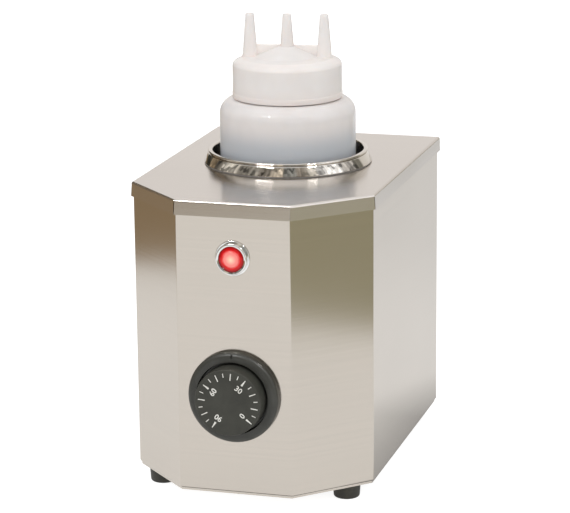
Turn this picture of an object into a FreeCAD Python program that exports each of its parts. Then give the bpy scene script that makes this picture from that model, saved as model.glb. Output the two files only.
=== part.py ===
import FreeCAD, Part
import math
import os

# Hot fudge topping warmer: a squeeze bottle that stands in a heated well.
# Millimetres, +Z up, front panel towards -Y. The origin lies on the table, under
# the middle of the box that the whole warmer fills.

Vector = FreeCAD.Vector
UP = Vector(0, 0, 1)
DOWN = Vector(0, 0, -1)
FORWARD = Vector(0, -1, 0)
BACKWARD = Vector(0, 1, 0)
FULL_TURN = 360.0

# Housing: a folded wrap, a rear panel, a base plate and a folded top cover
housing_width = 150.0
housing_depth = 212.0
housing_height = 178.6
front_chamfer = 40.0
wrap_sheet = 0.8
fold_radius = 1.4
bottom_flange = 24.0
rear_flange = 12.0
panel_sheet = 0.8
panel_side_gap = 0.4
base_sheet = 1.4
base_inset = 1.0
cover_sheet = 0.8
cover_gap = 0.05
cover_flange = 9.0
cover_lean = 0.6
cover_slit = 0.5
cover_hole_gap = 0.6
hole_gap = 0.3
overrun = 1.0

# Feet: tapered rubber with a recess for the screw
foot_height = 8.4
foot_top_radius = 8.5
foot_bottom_radius = 7.9
foot_edge = 1.4
foot_side_inset = 16.3
foot_front_inset = 37.4
foot_rear_inset = 18.2
foot_recess_radius = 4.8
foot_web = 3.6

# Well: a deep-drawn pot that hangs by its rolled rim on a conical collar
well_offset = 13.3
well_gap = 4.8
well_sheet = 0.8
well_corner = 8.0
rim_width = 2.8
rim_height = 1.8
collar_height = 8.4
collar_spread = 4.7
collar_fit = 0.1
collar_lip = 1.8
collar_wall = 1.3
collar_neck = 1.3
gasket_sheet = 0.6
gasket_inset = 0.6
stud_radius = 3.0
stud_length = 15.0

# Bridge and pad under the pot
bridge_height = 21.2
bridge_clear = 3.0
bridge_width = 36.0
bridge_sheet = 1.5
bridge_foot = 8.0
pad_thickness = 5.0
pad_radius = 40.0

# Heater band, insulation and sensor, on the service side of the pot
service_angle = 235.0
heater_fit = 0.1
heater_rise = 12.0
heater_clear = 16.0
heater_thickness = 2.5
heater_slot = 6.0
ear_sheet = 1.5
ear_reach = 11.0
ear_inset = 12.0
sleeve_fit = 0.3
sleeve_thickness = 9.0
sleeve_slot = 32.0
sleeve_rise = 4.0
sleeve_drop = 12.0
bulb_fit = 0.1
bulb_radius = 2.7
bulb_length = 44.0
bulb_drop = 19.5
bulb_end = 1.0
clip_sheet = 0.6
clip_height = 14.0
clip_spread = 18.0
clip_slack = 0.05
capillary_radius = 0.9
capillary_drop = 9.0
capillary_clear = 9.0
capillary_arch = 14.0
capillary_bend_share = 0.45
limiter_radius = 8.0
limiter_height = 11.0
limiter_offset = 27.0
limiter_flange = 1.2
limiter_flange_radius = 11.0

# Thermostat and its dial
dial_height = 60.6
thermostat_width = 34.0
thermostat_height = 40.0
thermostat_depth = 24.0
thermostat_edge = 1.2
mount_plate_width = 40.0
mount_plate_height = 44.0
mount_plate_sheet = 1.5
thermostat_screw_pitch = 28.0
bush_radius = 4.9
bush_reach = 1.2
shaft_radius = 3.0
shaft_fit = 0.05
shaft_depth = 12.0
shaft_flat = 1.2
blade_width = 6.3
blade_sheet = 0.8
blade_length = 8.0
bezel_radius = 27.9
bezel_reach = 5.8
bezel_edge = 3.0
bezel_land = 2.6
bezel_floor = 1.7
bezel_floor_radius = 21.6
index_width = 1.1
index_depth = 1.1
index_inset = 1.0
index_length = 2.3
knob_reach = 15.1
knob_radius = 20.25
knob_flare = 0.4
knob_edge = 0.5
knob_wall = 1.8
knob_face = 2.2
knob_clear = 0.8
knob_boss_radius = 5.4
knob_rib = 1.4
knob_ribs = 6
shaft_end_gap = 0.3
capillary_seat_share = 0.25

# Pilot lamp
lamp_drop = 33.6
lamp_radius = 9.6
lamp_reach = 3.7
lamp_edge = 0.8
lamp_rim = 1.7
lamp_flange_radius = 10.7
lamp_flange = 0.9
lamp_flange_edge = 0.45
lamp_floor = 0.6
lamp_body_radius = 6.5
lamp_body_length = 24.0
lamp_head = 0.8
lens_fit = 0.1
lens_dome = 1.3
lamp_nut_flats = 17.0
lamp_nut_height = 3.0
lamp_blade_width = 2.8
lamp_blade_length = 7.0

# Cable gland in the rear panel, without its cord
gland_inset = 33.0
gland_height = 28.0
gland_flats = 22.0
gland_flange = 5.0
gland_thread_radius = 7.9
gland_bore = 5.0
gland_inner_length = 9.0
gland_outer_length = 9.0
gland_nut_radius = 10.6
gland_mouth_wall = 1.0
gland_nut_mouth = 5.6
gland_nut_edge = 3.0
gland_nut_flutes = 12
gland_flute_radius = 1.1
gland_seal_bore = 3.75
gland_seal_length = 5.0
gland_seal_wall = 3.0
gland_thread_gap = 0.15
gland_lock_flats = 22.0
gland_lock_height = 4.0

# Terminal block and earth stud on the base plate
block_place_shares = (-0.2, 0.37)
block_length = 30.0
block_width = 18.0
block_height = 15.0
block_poles = 3
block_entry_radius = 1.9
block_entry_height = 5.0
block_well_radius = 2.1
block_screw_radius = 1.9
block_screw_height = 5.0
earth_place_shares = (0.08, 0.4)
earth_radius = 2.0
earth_length = 12.0
earth_nut_flats = 7.0
earth_nut_height = 3.2
earth_washer_radius = 4.7

# Squeeze bottle and its nozzle cap
bottle_radius = 42.4
bottle_wall = 1.4
bottle_seat_gap = 0.2
bottle_edge = 6.0
bottle_push_up = 3.0
bottle_shoulder_height = 192.0
bottle_shoulder_radius = 9.6
neck_inset = 12.4
neck_wall = 2.0
neck_height = 20.0
neck_fillet = 1.2
cap_skirt_gap = 0.5
cap_neck_gap = 2.0
cap_wall = 2.0
cap_bead = 0.3
cap_bead_height = 3.6
cap_skirt_height = 20.0
cap_edge = 2.9
cap_edge_turn = 60.0
cap_bevel_gap = 0.5
cap_plateau_inset = 5.6
cap_plateau_rise = 4.5
cap_cone_inset = 14.0
cap_cone_rise = 5.2
cap_apex_radius = 5.0
cap_apex_rise = 11.5
cap_web_rise = 12.3
cap_web_sheet = 1.6
cap_top_wall = 2.0
seal_thickness = 1.2
seal_width = 2.4
seal_gap = 0.1
plug_wall = 1.5
plug_depth = 3.0
plug_gap = 0.5
nozzle_inset = 10.6
nozzle_turn = 5.6
nozzle_tip_rise = 31.4
nozzle_tip_radius = 2.6
nozzle_base_radius = 4.6
nozzle_flare = 0.8
nozzle_flare_height = 1.8
nozzle_flare_drop = 1.0
nozzle_bore_tip = 1.5
nozzle_bore_base = 2.3
nozzle_bore_straight = 1.5
nozzle_count = 3


class Screw:
    """A pan head screw: shank, head and length under the head."""

    def __init__(self, shank_radius, head_radius, head_height, length):
        self.shank_radius = shank_radius
        self.head_radius = head_radius
        self.head_height = head_height
        self.length = length


class Nut:
    """A hexagon nut on a screw."""

    def __init__(self, flats, height):
        self.flats = flats
        self.height = height


foot_screw_shank = 2.0
foot_screw_head = 4.0
foot_screw_crown = 2.6
foot_screw_length = 11.5
foot_nut_flats = 7.0
foot_nut_height = 3.2
sheet_screw_shank = 1.75
sheet_screw_head = 3.4
sheet_screw_crown = 2.1
sheet_screw_length = 8.0
base_screw_inset = 7.0
base_screw_shares = (-0.04, 0.3)
rear_screw_inset = 6.4
rear_screw_shares = (0.07, 0.47, 0.84)
cover_screw_inset = 9.5
clamp_screw_shank = 2.0
clamp_screw_head = 3.8
clamp_screw_crown = 2.6
clamp_screw_length = 14.5
clamp_nut_flats = 7.0
clamp_nut_height = 3.2
clamp_inset = 5.0
bridge_nut_flats = 10.0
bridge_nut_height = 5.0
bridge_washer_radius = 6.0
bridge_washer_sheet = 1.2
plate_screw_shank = 2.0
plate_screw_head = 3.7
plate_screw_sink = 1.7
plate_screw_length = 6.5
thread_fit = 0.02

foot_screw = Screw(foot_screw_shank, foot_screw_head, foot_screw_crown, foot_screw_length)
foot_nut = Nut(foot_nut_flats, foot_nut_height)
sheet_screw = Screw(sheet_screw_shank, sheet_screw_head, sheet_screw_crown, sheet_screw_length)
clamp_screw = Screw(clamp_screw_shank, clamp_screw_head, clamp_screw_crown, clamp_screw_length)
clamp_nut = Nut(clamp_nut_flats, clamp_nut_height)
plate_screw = Screw(plate_screw_shank, plate_screw_head, plate_screw_sink, plate_screw_length)

# Heights above the table
casing_z = foot_height + base_sheet
cover_z = casing_z + housing_height
cover_under_z = cover_z - cover_sheet
dial_z = casing_z + dial_height
lamp_z = cover_z - lamp_drop
gland_z = casing_z + gland_height
bridge_z = casing_z + bridge_height
pot_under_z = bridge_z + pad_thickness
well_floor_z = pot_under_z + well_sheet
rim_z = cover_z + collar_height
heater_z = pot_under_z + heater_rise
bulb_z = cover_under_z - bulb_drop - bulb_length
heater_top_z = bulb_z - heater_clear
heater_middle_z = (heater_z + heater_top_z) / 2
bottle_z = well_floor_z + bottle_seat_gap
shoulder_z = bottle_z + bottle_shoulder_height
neck_top_z = shoulder_z + neck_height
skirt_z = shoulder_z + cap_skirt_gap
cap_corner_z = skirt_z + cap_skirt_height
seal_z = neck_top_z + seal_gap
cap_under_z = seal_z + seal_thickness + seal_gap
nozzle_tip_z = cap_corner_z + nozzle_tip_rise

# Radii that follow from the fits
well_radius = bottle_radius + well_gap
well_outer = well_radius + well_sheet
collar_foot_radius = well_outer + collar_spread
heater_inner = well_outer + heater_fit
heater_outer = heater_inner + heater_thickness
sleeve_inner = heater_outer + sleeve_fit
sleeve_outer = sleeve_inner + sleeve_thickness
bulb_axis = well_outer + bulb_fit + bulb_radius
neck_radius = bottle_radius - neck_inset
cap_radius = neck_radius + cap_neck_gap + cap_wall
cap_plateau_radius = cap_radius - cap_plateau_inset
cap_cone_radius = cap_radius - cap_cone_inset
nozzle_spacing = cap_radius - nozzle_inset

# Places in the plan, from the middle of the housing
front_y = -housing_depth / 2
rear_y = housing_depth / 2
foot_x = housing_width / 2 - foot_side_inset
foot_places = {
    "foot_front_left": (-foot_x, front_y + foot_front_inset),
    "foot_front_right": (foot_x, front_y + foot_front_inset),
    "foot_rear_left": (-foot_x, rear_y - foot_rear_inset),
    "foot_rear_right": (foot_x, rear_y - foot_rear_inset),
}
block_x, block_y = (share * span for share, span in zip(block_place_shares, (housing_width, housing_depth)))
earth_x, earth_y = (share * span for share, span in zip(earth_place_shares, (housing_width, housing_depth)))

# Where the gland is, and how far it reaches from the rear panel
gland_side = gland_inset - housing_width / 2
gland_shoulder = gland_flange + gland_outer_length + gland_seal_length
gland_nut_reach = gland_shoulder + gland_mouth_wall

# The origin is under the middle between the dial's face and the gland's mouth
origin_y = (rear_y + gland_nut_reach + front_y - knob_reach) / 2


def plan(grow, rear):
    """Corners of the housing from above, with the walls moved outwards by grow."""
    side = housing_width / 2 + grow
    front = front_y - grow
    corner = front_chamfer + grow * (2 - math.sqrt(2))
    return [(-side, rear), (-side, front + corner), (-side + corner, front),
            (side - corner, front), (side, front + corner), (side, rear)]


def prism(outline, low, high):
    """Upright solid on a plan outline."""
    points = [Vector(x, y, low) for x, y in outline]
    face = Part.Face(Part.makePolygon(points + points[:1]))
    return face.extrude(Vector(0, 0, high - low))


def block(x_low, x_high, y_low, y_high, z_low, z_high):
    """Box between two corners."""
    corner = Vector(x_low, y_low, z_low)
    return Part.makeBox(x_high - x_low, y_high - y_low, z_high - z_low, corner)


def rod(radius, low, high, x=0, y=0):
    """Upright cylinder between two heights."""
    return Part.makeCylinder(radius, high - low, Vector(x, y, low))


def hexagon(flats, low, high):
    """Upright hexagonal prism, measured across its flats."""
    radius = flats / math.sqrt(3)
    corners = [(radius * math.cos(k * math.pi / 3), radius * math.sin(k * math.pi / 3)) for k in range(6)]
    return prism(corners, low, high)


def arc(centre, radius, start, end):
    """Arc step of a profile: its middle and its end, from angles in degrees."""
    middle = math.radians((start + end) / 2)
    last = math.radians(end)
    r, z = centre
    return ((r + radius * math.cos(middle), z + radius * math.sin(middle)),
            (r + radius * math.cos(last), z + radius * math.sin(last)))


def turned(steps):
    """Solid of revolution about Z; a step is a point (r, z) or an arc from arc()."""
    edges = []
    here = Vector(steps[0][0], 0, steps[0][1])
    for step in steps[1:] + steps[:1]:
        if isinstance(step[0], tuple):
            middle, last = (Vector(r, 0, z) for r, z in step)
            edges.append(Part.Arc(here, middle, last).toShape())
        else:
            last = Vector(step[0], 0, step[1])
            edges.append(Part.makeLine(here, last))
        here = last
    return Part.Face(Part.Wire(edges)).revolve(Vector(0, 0, 0), UP, FULL_TURN)


def ring(inner, outer, low, high):
    """Flat ring between two radii and two heights."""
    return turned([(inner, low), (outer, low), (outer, high), (inner, high)])


def upright_edges(solid):
    """Straight edges that run along Z."""
    return [edge for edge in solid.Edges if abs(edge.BoundBox.ZLength - edge.Length) < thread_fit]


def level_edges(solid, z):
    """Edges that lie in the plane at height z."""
    near = thread_fit
    return [edge for edge in solid.Edges
            if edge.BoundBox.ZLength < near and abs(edge.CenterOfMass.z - z) < near]


def seated(shape, place, direction):
    """Copy of a shape built along +Z, put at a place and turned to a direction."""
    copy = shape.copy()
    turn = FreeCAD.Rotation(UP, direction)
    copy.Placement = FreeCAD.Placement(place, turn).multiply(copy.Placement)
    return copy


def on_front(shape, height):
    """Copy of a shape built along +Z that stands out of the front panel, its +Y up."""
    copy = shape.copy()
    turn = FreeCAD.Rotation(Vector(1, 0, 0), FULL_TURN / 4)
    copy.Placement = FreeCAD.Placement(Vector(0, front_y, height), turn).multiply(copy.Placement)
    return copy


def on_rear(shape, x, height):
    """Copy of a shape built along +Z that stands out of the rear panel."""
    return seated(shape, Vector(x, rear_y, height), BACKWARD)


def in_well(shape):
    """Copy of a shape built round Z, moved to the axis of the well."""
    return shape.translated(Vector(0, well_offset, 0))


def on_service_side(shape):
    """Copy of a shape built towards +X from the pot's axis, turned to the service side."""
    copy = shape.copy()
    copy.rotate(Vector(0, 0, 0), UP, service_angle)
    return in_well(copy)


def service_point(reach, height):
    """Point on the service side of the pot."""
    angle = math.radians(service_angle)
    return Vector(reach * math.cos(angle), well_offset + reach * math.sin(angle), height)


def screw_solid(screw):
    """Pan head screw with its head's underside at z = 0 and its shank towards -Z."""
    crown = screw.head_height / 2
    return turned([(0, -screw.length), (screw.shank_radius, -screw.length), (screw.shank_radius, 0),
                   (screw.head_radius, 0), (screw.head_radius, crown),
                   arc((screw.head_radius - crown, crown), crown, 0, 90), (0, screw.head_height)])


def nut_solid(nut, screw):
    """Nut that stands on z = 0, with a bore for its screw."""
    body = hexagon(nut.flats, 0, nut.height)
    return body.cut(rod(screw.shank_radius + thread_fit, -overrun, nut.height + overrun))


def group(shapes):
    """Several separate solids of one node."""
    return Part.makeCompound(shapes)


def drilled(solid, radius, places, direction):
    """Solid with a round hole through every place, along a direction."""
    for place in places:
        start = place - direction * (housing_width / 2)
        hole = Part.makeCylinder(radius, housing_width, start, direction)
        near = Part.makeSphere(bottom_flange / 2, place)
        solid = solid.cut(hole.common(near))
    return solid


def base_screw_places():
    """Where screws hold the base plate: both sides, the front and the two front corners."""
    side = housing_width / 2 - base_screw_inset
    levels = [share * housing_depth for share in base_screw_shares]
    places = [Vector(x, y, casing_z) for x in (-side, side) for y in levels]
    places.append(Vector(0, front_y + base_screw_inset, casing_z))
    slope = base_screw_inset / math.sqrt(2)
    corner_x = (housing_width - front_chamfer) / 2 - slope
    corner_y = front_y + front_chamfer / 2 + slope
    places += [Vector(-corner_x, corner_y, casing_z), Vector(corner_x, corner_y, casing_z)]
    return places


def rear_screw_places():
    """Where screws hold the rear panel."""
    side = housing_width / 2 - rear_screw_inset
    return [Vector(x, rear_y, casing_z + share * housing_height)
            for x in (-side, side) for share in rear_screw_shares]


def cover_screw_places():
    """Where screws hold the cover's rear flange."""
    side = housing_width / 2 - cover_screw_inset
    height = cover_z - cover_flange / 2
    return [Vector(x, rear_y + cover_gap + cover_sheet, height) for x in (-side, side)]


def foot_centres(height):
    """Centres of the four feet at a height."""
    return [Vector(x, y, height) for x, y in foot_places.values()]


def casing_wrap():
    """Folded sheet round the front, the cut corners and the sides, with return flanges."""
    rear = rear_y - panel_sheet
    outer = prism(plan(0, rear), casing_z, cover_under_z)
    outer = outer.makeFillet(fold_radius, upright_edges(outer))
    outer = outer.makeFillet(fold_radius, level_edges(outer, casing_z))
    inner_bend = fold_radius - wrap_sheet
    inner = prism(plan(-wrap_sheet, rear - wrap_sheet), casing_z + wrap_sheet, cover_z)
    inner = inner.makeFillet(inner_bend, upright_edges(inner))
    inner = inner.makeFillet(inner_bend, level_edges(inner, casing_z + wrap_sheet))
    floor = prism(plan(-bottom_flange, cover_z), 0, casing_z + 2 * wrap_sheet)
    window_x = housing_width / 2 - rear_flange
    window = block(-window_x, window_x, rear - 2 * wrap_sheet, rear_y, 0, cover_z)
    wrap = outer.cut(inner).cut(floor).cut(window)
    wrap = drilled(wrap, foot_screw.shank_radius + hole_gap, foot_centres(casing_z), UP)
    wrap = drilled(wrap, sheet_screw.shank_radius + thread_fit, base_screw_places(), UP)
    wrap = drilled(wrap, sheet_screw.shank_radius + thread_fit, rear_screw_places(), BACKWARD)
    wrap = drilled(wrap, sheet_screw.shank_radius + thread_fit, cover_screw_places(), BACKWARD)
    lamp_hole = rod(lamp_body_radius + hole_gap, -fold_radius, fold_radius)
    bush_hole = rod(bush_radius + hole_gap, -fold_radius, fold_radius)
    for x in (-thermostat_screw_pitch / 2, thermostat_screw_pitch / 2):
        bush_hole = bush_hole.fuse(rod(plate_screw.shank_radius + hole_gap, -fold_radius, fold_radius, x))
    return wrap.cut(on_front(lamp_hole, lamp_z)).cut(on_front(bush_hole, dial_z))


def rear_panel():
    """Flat sheet over the wrap's rear flanges."""
    side = housing_width / 2 - panel_side_gap
    panel = block(-side, side, rear_y - panel_sheet, rear_y, casing_z, cover_under_z)
    panel = drilled(panel, sheet_screw.shank_radius + hole_gap, rear_screw_places(), BACKWARD)
    panel = drilled(panel, sheet_screw.shank_radius + hole_gap, cover_screw_places(), BACKWARD)
    gland_hole = rod(gland_thread_radius + hole_gap, -2 * panel_sheet, panel_sheet)
    return panel.cut(on_rear(gland_hole, gland_side, gland_z))


def base_plate():
    """Flat plate under the wrap's bottom flange."""
    plate = prism(plan(-base_inset, rear_y - base_inset), foot_height, casing_z)
    plate = plate.makeFillet(fold_radius, upright_edges(plate))
    plate = drilled(plate, foot_screw.shank_radius + hole_gap, foot_centres(casing_z), UP)
    return drilled(plate, sheet_screw.shank_radius + hole_gap, base_screw_places(), UP)


def leaning(low_outline, high_outline, low, high):
    """Solid whose walls run straight from one plan outline to another above it."""
    wires = []
    for outline, z in ((low_outline, low), (high_outline, high)):
        points = [Vector(x, y, z) for x, y in outline]
        wires.append(Part.makePolygon(points + points[:1]))
    return Part.makeLoft(wires, True, True)


def top_cover():
    """Folded lid with a flange on every side, slit at its corners; all but the rear one lean out."""
    grow = cover_gap + cover_sheet
    low = cover_z - cover_flange
    outer_rear = rear_y + grow
    inner_rear = rear_y + cover_gap
    outer_plan = plan(grow + cover_lean, outer_rear)
    inner_plan = plan(cover_gap + cover_lean, inner_rear)
    cover = leaning(outer_plan, plan(grow, outer_rear), low, cover_z)
    cover = cover.makeFillet(fold_radius, level_edges(cover, cover_z))
    cover = cover.cut(leaning(inner_plan, plan(cover_gap, inner_rear), low, cover_under_z))
    for outer, inner in zip(outer_plan, inner_plan):
        along = Vector(outer[0] - inner[0], outer[1] - inner[1], 0).normalize()
        across = along.cross(UP) * (cover_slit / 2)
        start = Vector(inner[0], inner[1], 0) - along * 2 * cover_sheet
        stop = Vector(outer[0], outer[1], 0) + along * cover_sheet
        corners = [start - across, stop - across, stop + across, start + across]
        cover = cover.cut(prism([(p.x, p.y) for p in corners], 0, cover_z - fold_radius))
    cover = drilled(cover, sheet_screw.shank_radius + hole_gap, cover_screw_places(), BACKWARD)
    return cover.cut(in_well(rod(well_outer + cover_hole_gap, 0, rim_z)))


def well_pot():
    """Deep-drawn pot with a curled rim and a stud welded under its floor."""
    curl = rim_height / 2
    curl_z = rim_z - curl
    rim_edge = well_radius + rim_width - curl
    corner = well_corner - well_sheet
    pot = turned([
        (0, pot_under_z), (well_outer - well_corner, pot_under_z),
        arc((well_outer - well_corner, pot_under_z + well_corner), well_corner, -90, 0),
        (well_outer, rim_z - rim_height), (rim_edge, rim_z - rim_height),
        arc((rim_edge, curl_z), curl, -90, 90),
        (well_radius + curl, rim_z), arc((well_radius + curl, curl_z), curl, 90, 180),
        (well_radius, well_floor_z + corner),
        arc((well_radius - corner, well_floor_z + corner), corner, 0, -90),
        (0, well_floor_z)])
    return in_well(pot.fuse(rod(stud_radius, pot_under_z - stud_length, well_floor_z - well_sheet / 2)))


def well_collar():
    """Spun conical collar that carries the pot's rim."""
    inner = well_outer + collar_fit
    low = cover_z + gasket_sheet
    high = rim_z - rim_height
    return in_well(turned([
        (inner, high), (inner + collar_lip, high), (collar_foot_radius, low),
        (collar_foot_radius - collar_wall, low), (inner, high - collar_neck)]))


def collar_gasket():
    """Flat ring between the collar and the cover."""
    inner = well_outer + cover_hole_gap
    return in_well(ring(inner, collar_foot_radius - gasket_inset, cover_z, cover_z + gasket_sheet))


def heater_band():
    """Split band heater with two ears for its clamp screw."""
    band = ring(heater_inner, heater_outer, heater_z, heater_top_z)
    low = heater_z + ear_inset
    high = heater_top_z - ear_inset
    inside = heater_slot / 2
    reach = heater_outer + ear_reach
    for y_low, y_high in ((-inside - ear_sheet, -inside), (inside, inside + ear_sheet)):
        band = band.fuse(block(heater_inner + heater_fit, reach, y_low, y_high, low, high))
    slot = block(0, sleeve_outer, -inside, inside, heater_z - overrun, heater_top_z + overrun)
    hole = seated(rod(clamp_screw.shank_radius + hole_gap, -heater_outer, heater_outer),
                  Vector(heater_outer + ear_reach - clamp_inset, 0, heater_middle_z), BACKWARD)
    return on_service_side(band.cut(slot).cut(hole))


def heater_clamp():
    """Screw and nut that close the heater band."""
    seat = heater_slot / 2 + ear_sheet
    x = heater_outer + ear_reach - clamp_inset
    screw = seated(screw_solid(clamp_screw), Vector(x, -seat, heater_middle_z), FORWARD)
    nut = seated(nut_solid(clamp_nut, clamp_screw), Vector(x, seat, heater_middle_z), BACKWARD)
    return on_service_side(group([screw, nut]))


def insulation_sleeve():
    """Split sleeve round the heater, open on the service side."""
    low = pot_under_z + sleeve_rise
    high = cover_under_z - sleeve_drop
    sleeve = ring(sleeve_inner, sleeve_outer, low, high)
    slot = block(0, 2 * sleeve_outer, -sleeve_slot / 2, sleeve_slot / 2, low - overrun, high + overrun)
    return on_service_side(sleeve.cut(slot))


def floor_pad():
    """Insulating pad under the pot, with holes for the stud and the limiter."""
    pad = rod(pad_radius, bridge_z, pot_under_z)
    pad = pad.cut(rod(stud_radius + hole_gap, 0, rim_z))
    return in_well(pad.cut(rod(limiter_flange_radius + hole_gap, 0, rim_z, 0, limiter_offset)))


def well_bridge():
    """Bent bracket that stands on the base plate and carries the pot."""
    half = housing_width / 2 - bottom_flange - bridge_clear - bridge_foot
    depth = bridge_width / 2
    bridge = block(-half, half, -depth, depth, bridge_z - bridge_sheet, bridge_z)
    for side in (-1, 1):
        legs = sorted((side * half, side * (half - bridge_sheet)))
        feet = sorted((side * (half - bridge_sheet), side * (half + bridge_foot)))
        bridge = bridge.fuse(block(legs[0], legs[1], -depth, depth, casing_z, bridge_z))
        bridge = bridge.fuse(block(feet[0], feet[1], -depth, depth, casing_z, casing_z + bridge_sheet))
    return in_well(bridge.cut(rod(stud_radius + hole_gap, 0, rim_z)).removeSplitter())


def bridge_fixing():
    """Washer and nut on the pot's stud."""
    top = bridge_z - bridge_sheet
    low = top - bridge_washer_sheet
    bore = stud_radius + thread_fit
    washer = ring(bore, bridge_washer_radius, low, top)
    nut = hexagon(bridge_nut_flats, low - bridge_nut_height, low).cut(rod(bore, 0, top))
    return in_well(group([washer, nut]))


def heat_limiter():
    """Snap disc limiter held against the pot's floor, with two blades."""
    flange = rod(limiter_flange_radius, pot_under_z - limiter_flange, pot_under_z)
    body = flange.fuse(rod(limiter_radius, pot_under_z - limiter_height, pot_under_z))
    low = pot_under_z - limiter_height
    for x in (-limiter_radius / 2, limiter_radius / 2):
        body = body.fuse(block(x - blade_sheet / 2, x + blade_sheet / 2, -blade_width / 2, blade_width / 2,
                               low - blade_length, low))
    return in_well(body.translated(Vector(0, limiter_offset, 0)))


def sensor_bulb():
    """Liquid-filled bulb against the pot's wall."""
    bulb = rod(bulb_radius, bulb_z, bulb_z + bulb_length, bulb_axis)
    ends = level_edges(bulb, bulb_z) + level_edges(bulb, bulb_z + bulb_length)
    return on_service_side(bulb.makeFillet(bulb_end, ends))


def bulb_clip():
    """Saddle that holds the bulb to the pot."""
    middle = bulb_z + bulb_length / 2
    low = middle - clip_height / 2
    high = middle + clip_height / 2
    inner = well_outer + clip_slack
    feet = ring(inner, inner + clip_sheet, low, high)
    feet = feet.common(block(0, 2 * inner, -clip_spread / 2, clip_spread / 2, low, high))
    bore = bulb_radius + clip_slack
    outer = bore + clip_sheet
    saddle = rod(outer, low, high, bulb_axis).fuse(block(inner, bulb_axis, -outer, outer, low, high))
    hollow = rod(bore, low - overrun, high + overrun, bulb_axis)
    hollow = hollow.fuse(block(0, bulb_axis, -bore, bore, low - overrun, high + overrun))
    clip = feet.fuse(saddle).cut(rod(inner, low - overrun, high + overrun)).cut(hollow)
    return on_service_side(clip.removeSplitter())


def bent_tube(points, radius, bend_share):
    """Round tube along straight runs joined by tangent arcs."""
    edges = []
    here = points[0]
    for before, corner, after in zip(points, points[1:], points[2:]):
        into = (corner - before).normalize()
        out = (after - corner).normalize()
        reach = bend_share * min(before.distanceToPoint(corner), corner.distanceToPoint(after))
        half_turn = into.getAngle(out) / 2
        bend = reach / math.tan(half_turn)
        first = corner - into * reach
        last = corner + out * reach
        inward = (out - into).normalize()
        middle = corner + inward * (bend / math.cos(half_turn) - bend)
        edges += [Part.makeLine(here, first), Part.Arc(first, middle, last).toShape()]
        here = last
    edges.append(Part.makeLine(here, points[-1]))
    circle = Part.Wire(Part.makeCircle(radius, points[0], points[1] - points[0]))
    return Part.Wire(edges).makePipeShell([circle], True, False)


def sensor_capillary():
    """Thin tube from the bulb to the thermostat."""
    x = -thermostat_width * capillary_seat_share
    y = front_y + wrap_sheet + mount_plate_sheet + thermostat_depth / 2
    top = dial_z + thermostat_height / 2
    turn_z = bulb_z - capillary_drop
    route = [service_point(bulb_axis, bulb_z), service_point(bulb_axis, turn_z),
             service_point(sleeve_outer + capillary_clear, turn_z),
             Vector(x, y, top + capillary_arch), Vector(x, y, top)]
    return bent_tube(route, capillary_radius, capillary_bend_share)


def thermostat_body():
    """Thermostat with its mounting plate, bush and four blades."""
    seat = -wrap_sheet
    plate_back = seat - mount_plate_sheet
    back = plate_back - thermostat_depth
    half_width = thermostat_width / 2
    half_height = thermostat_height / 2
    body = block(-half_width, half_width, -half_height, half_height, back, plate_back)
    body = body.makeFillet(thermostat_edge, upright_edges(body))
    plate_x = mount_plate_width / 2
    plate_y = mount_plate_height / 2
    body = body.fuse(block(-plate_x, plate_x, -plate_y, plate_y, plate_back, seat))
    body = body.fuse(rod(bush_radius, plate_back, bush_reach))
    body = body.cut(rod(shaft_radius + shaft_fit, -shaft_depth - shaft_end_gap, knob_reach))
    for side in (-1, 1):
        hole_x = side * thermostat_screw_pitch / 2
        hole = rod(plate_screw.shank_radius + thread_fit, plate_back - blade_length, knob_reach, hole_x)
        body = body.cut(hole)
        for level in (-1, 1):
            x = side * thermostat_width / 4
            y = level * thermostat_height / 4
            body = body.fuse(block(x - blade_width / 2, x + blade_width / 2, y - blade_sheet / 2,
                                   y + blade_sheet / 2, back - blade_length, back))
    return on_front(body, dial_z)


def thermostat_screws():
    """Two countersunk screws through the bezel's floor into the mounting plate."""
    screw = plate_screw
    top = bezel_floor
    solid = turned([(0, top - screw.length), (screw.shank_radius, top - screw.length),
                    (screw.shank_radius, top - screw.head_height), (screw.head_radius, top), (0, top)])
    half = thermostat_screw_pitch / 2
    return on_front(group([solid.translated(Vector(x, 0, 0)) for x in (-half, half)]), dial_z)


def thermostat_shaft():
    """Turning shaft with a flat for the knob."""
    tip = knob_reach - knob_face - shaft_end_gap
    shaft = rod(shaft_radius, -shaft_depth, tip)
    flat = block(-shaft_radius, shaft_radius, shaft_radius - shaft_flat, 2 * shaft_radius,
                 bezel_floor + knob_clear, tip + overrun)
    return on_front(shaft.cut(flat), dial_z)


def dial_bezel():
    """Fixed ring round the dial: a rounded shoulder, a flat land and an index notch at the top."""
    screw = plate_screw
    hole = bush_radius + hole_gap
    land = bezel_radius - bezel_edge - bezel_land
    bezel = turned([
        (hole, 0), (bezel_radius, 0), (bezel_radius, bezel_reach - bezel_edge),
        arc((bezel_radius - bezel_edge, bezel_reach - bezel_edge), bezel_edge, 0, 90),
        (land, bezel_reach), (bezel_floor_radius, bezel_floor), (hole, bezel_floor)])
    index_end = bezel_radius - index_inset
    notch = block(-index_width / 2, index_width / 2, index_end - index_length, index_end,
                  bezel_reach - index_depth, bezel_reach + overrun)
    bezel = bezel.cut(notch)
    sink = turned([(0, -overrun), (screw.shank_radius + hole_gap, -overrun),
                   (screw.shank_radius + hole_gap, 0),
                   (screw.shank_radius + thread_fit, bezel_floor - screw.head_height),
                   (screw.head_radius + thread_fit, bezel_floor),
                   (screw.head_radius + thread_fit, bezel_reach), (0, bezel_reach)])
    for x in (-thermostat_screw_pitch / 2, thermostat_screw_pitch / 2):
        bezel = bezel.cut(sink.translated(Vector(x, 0, 0)))
    return on_front(bezel, dial_z)


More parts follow.
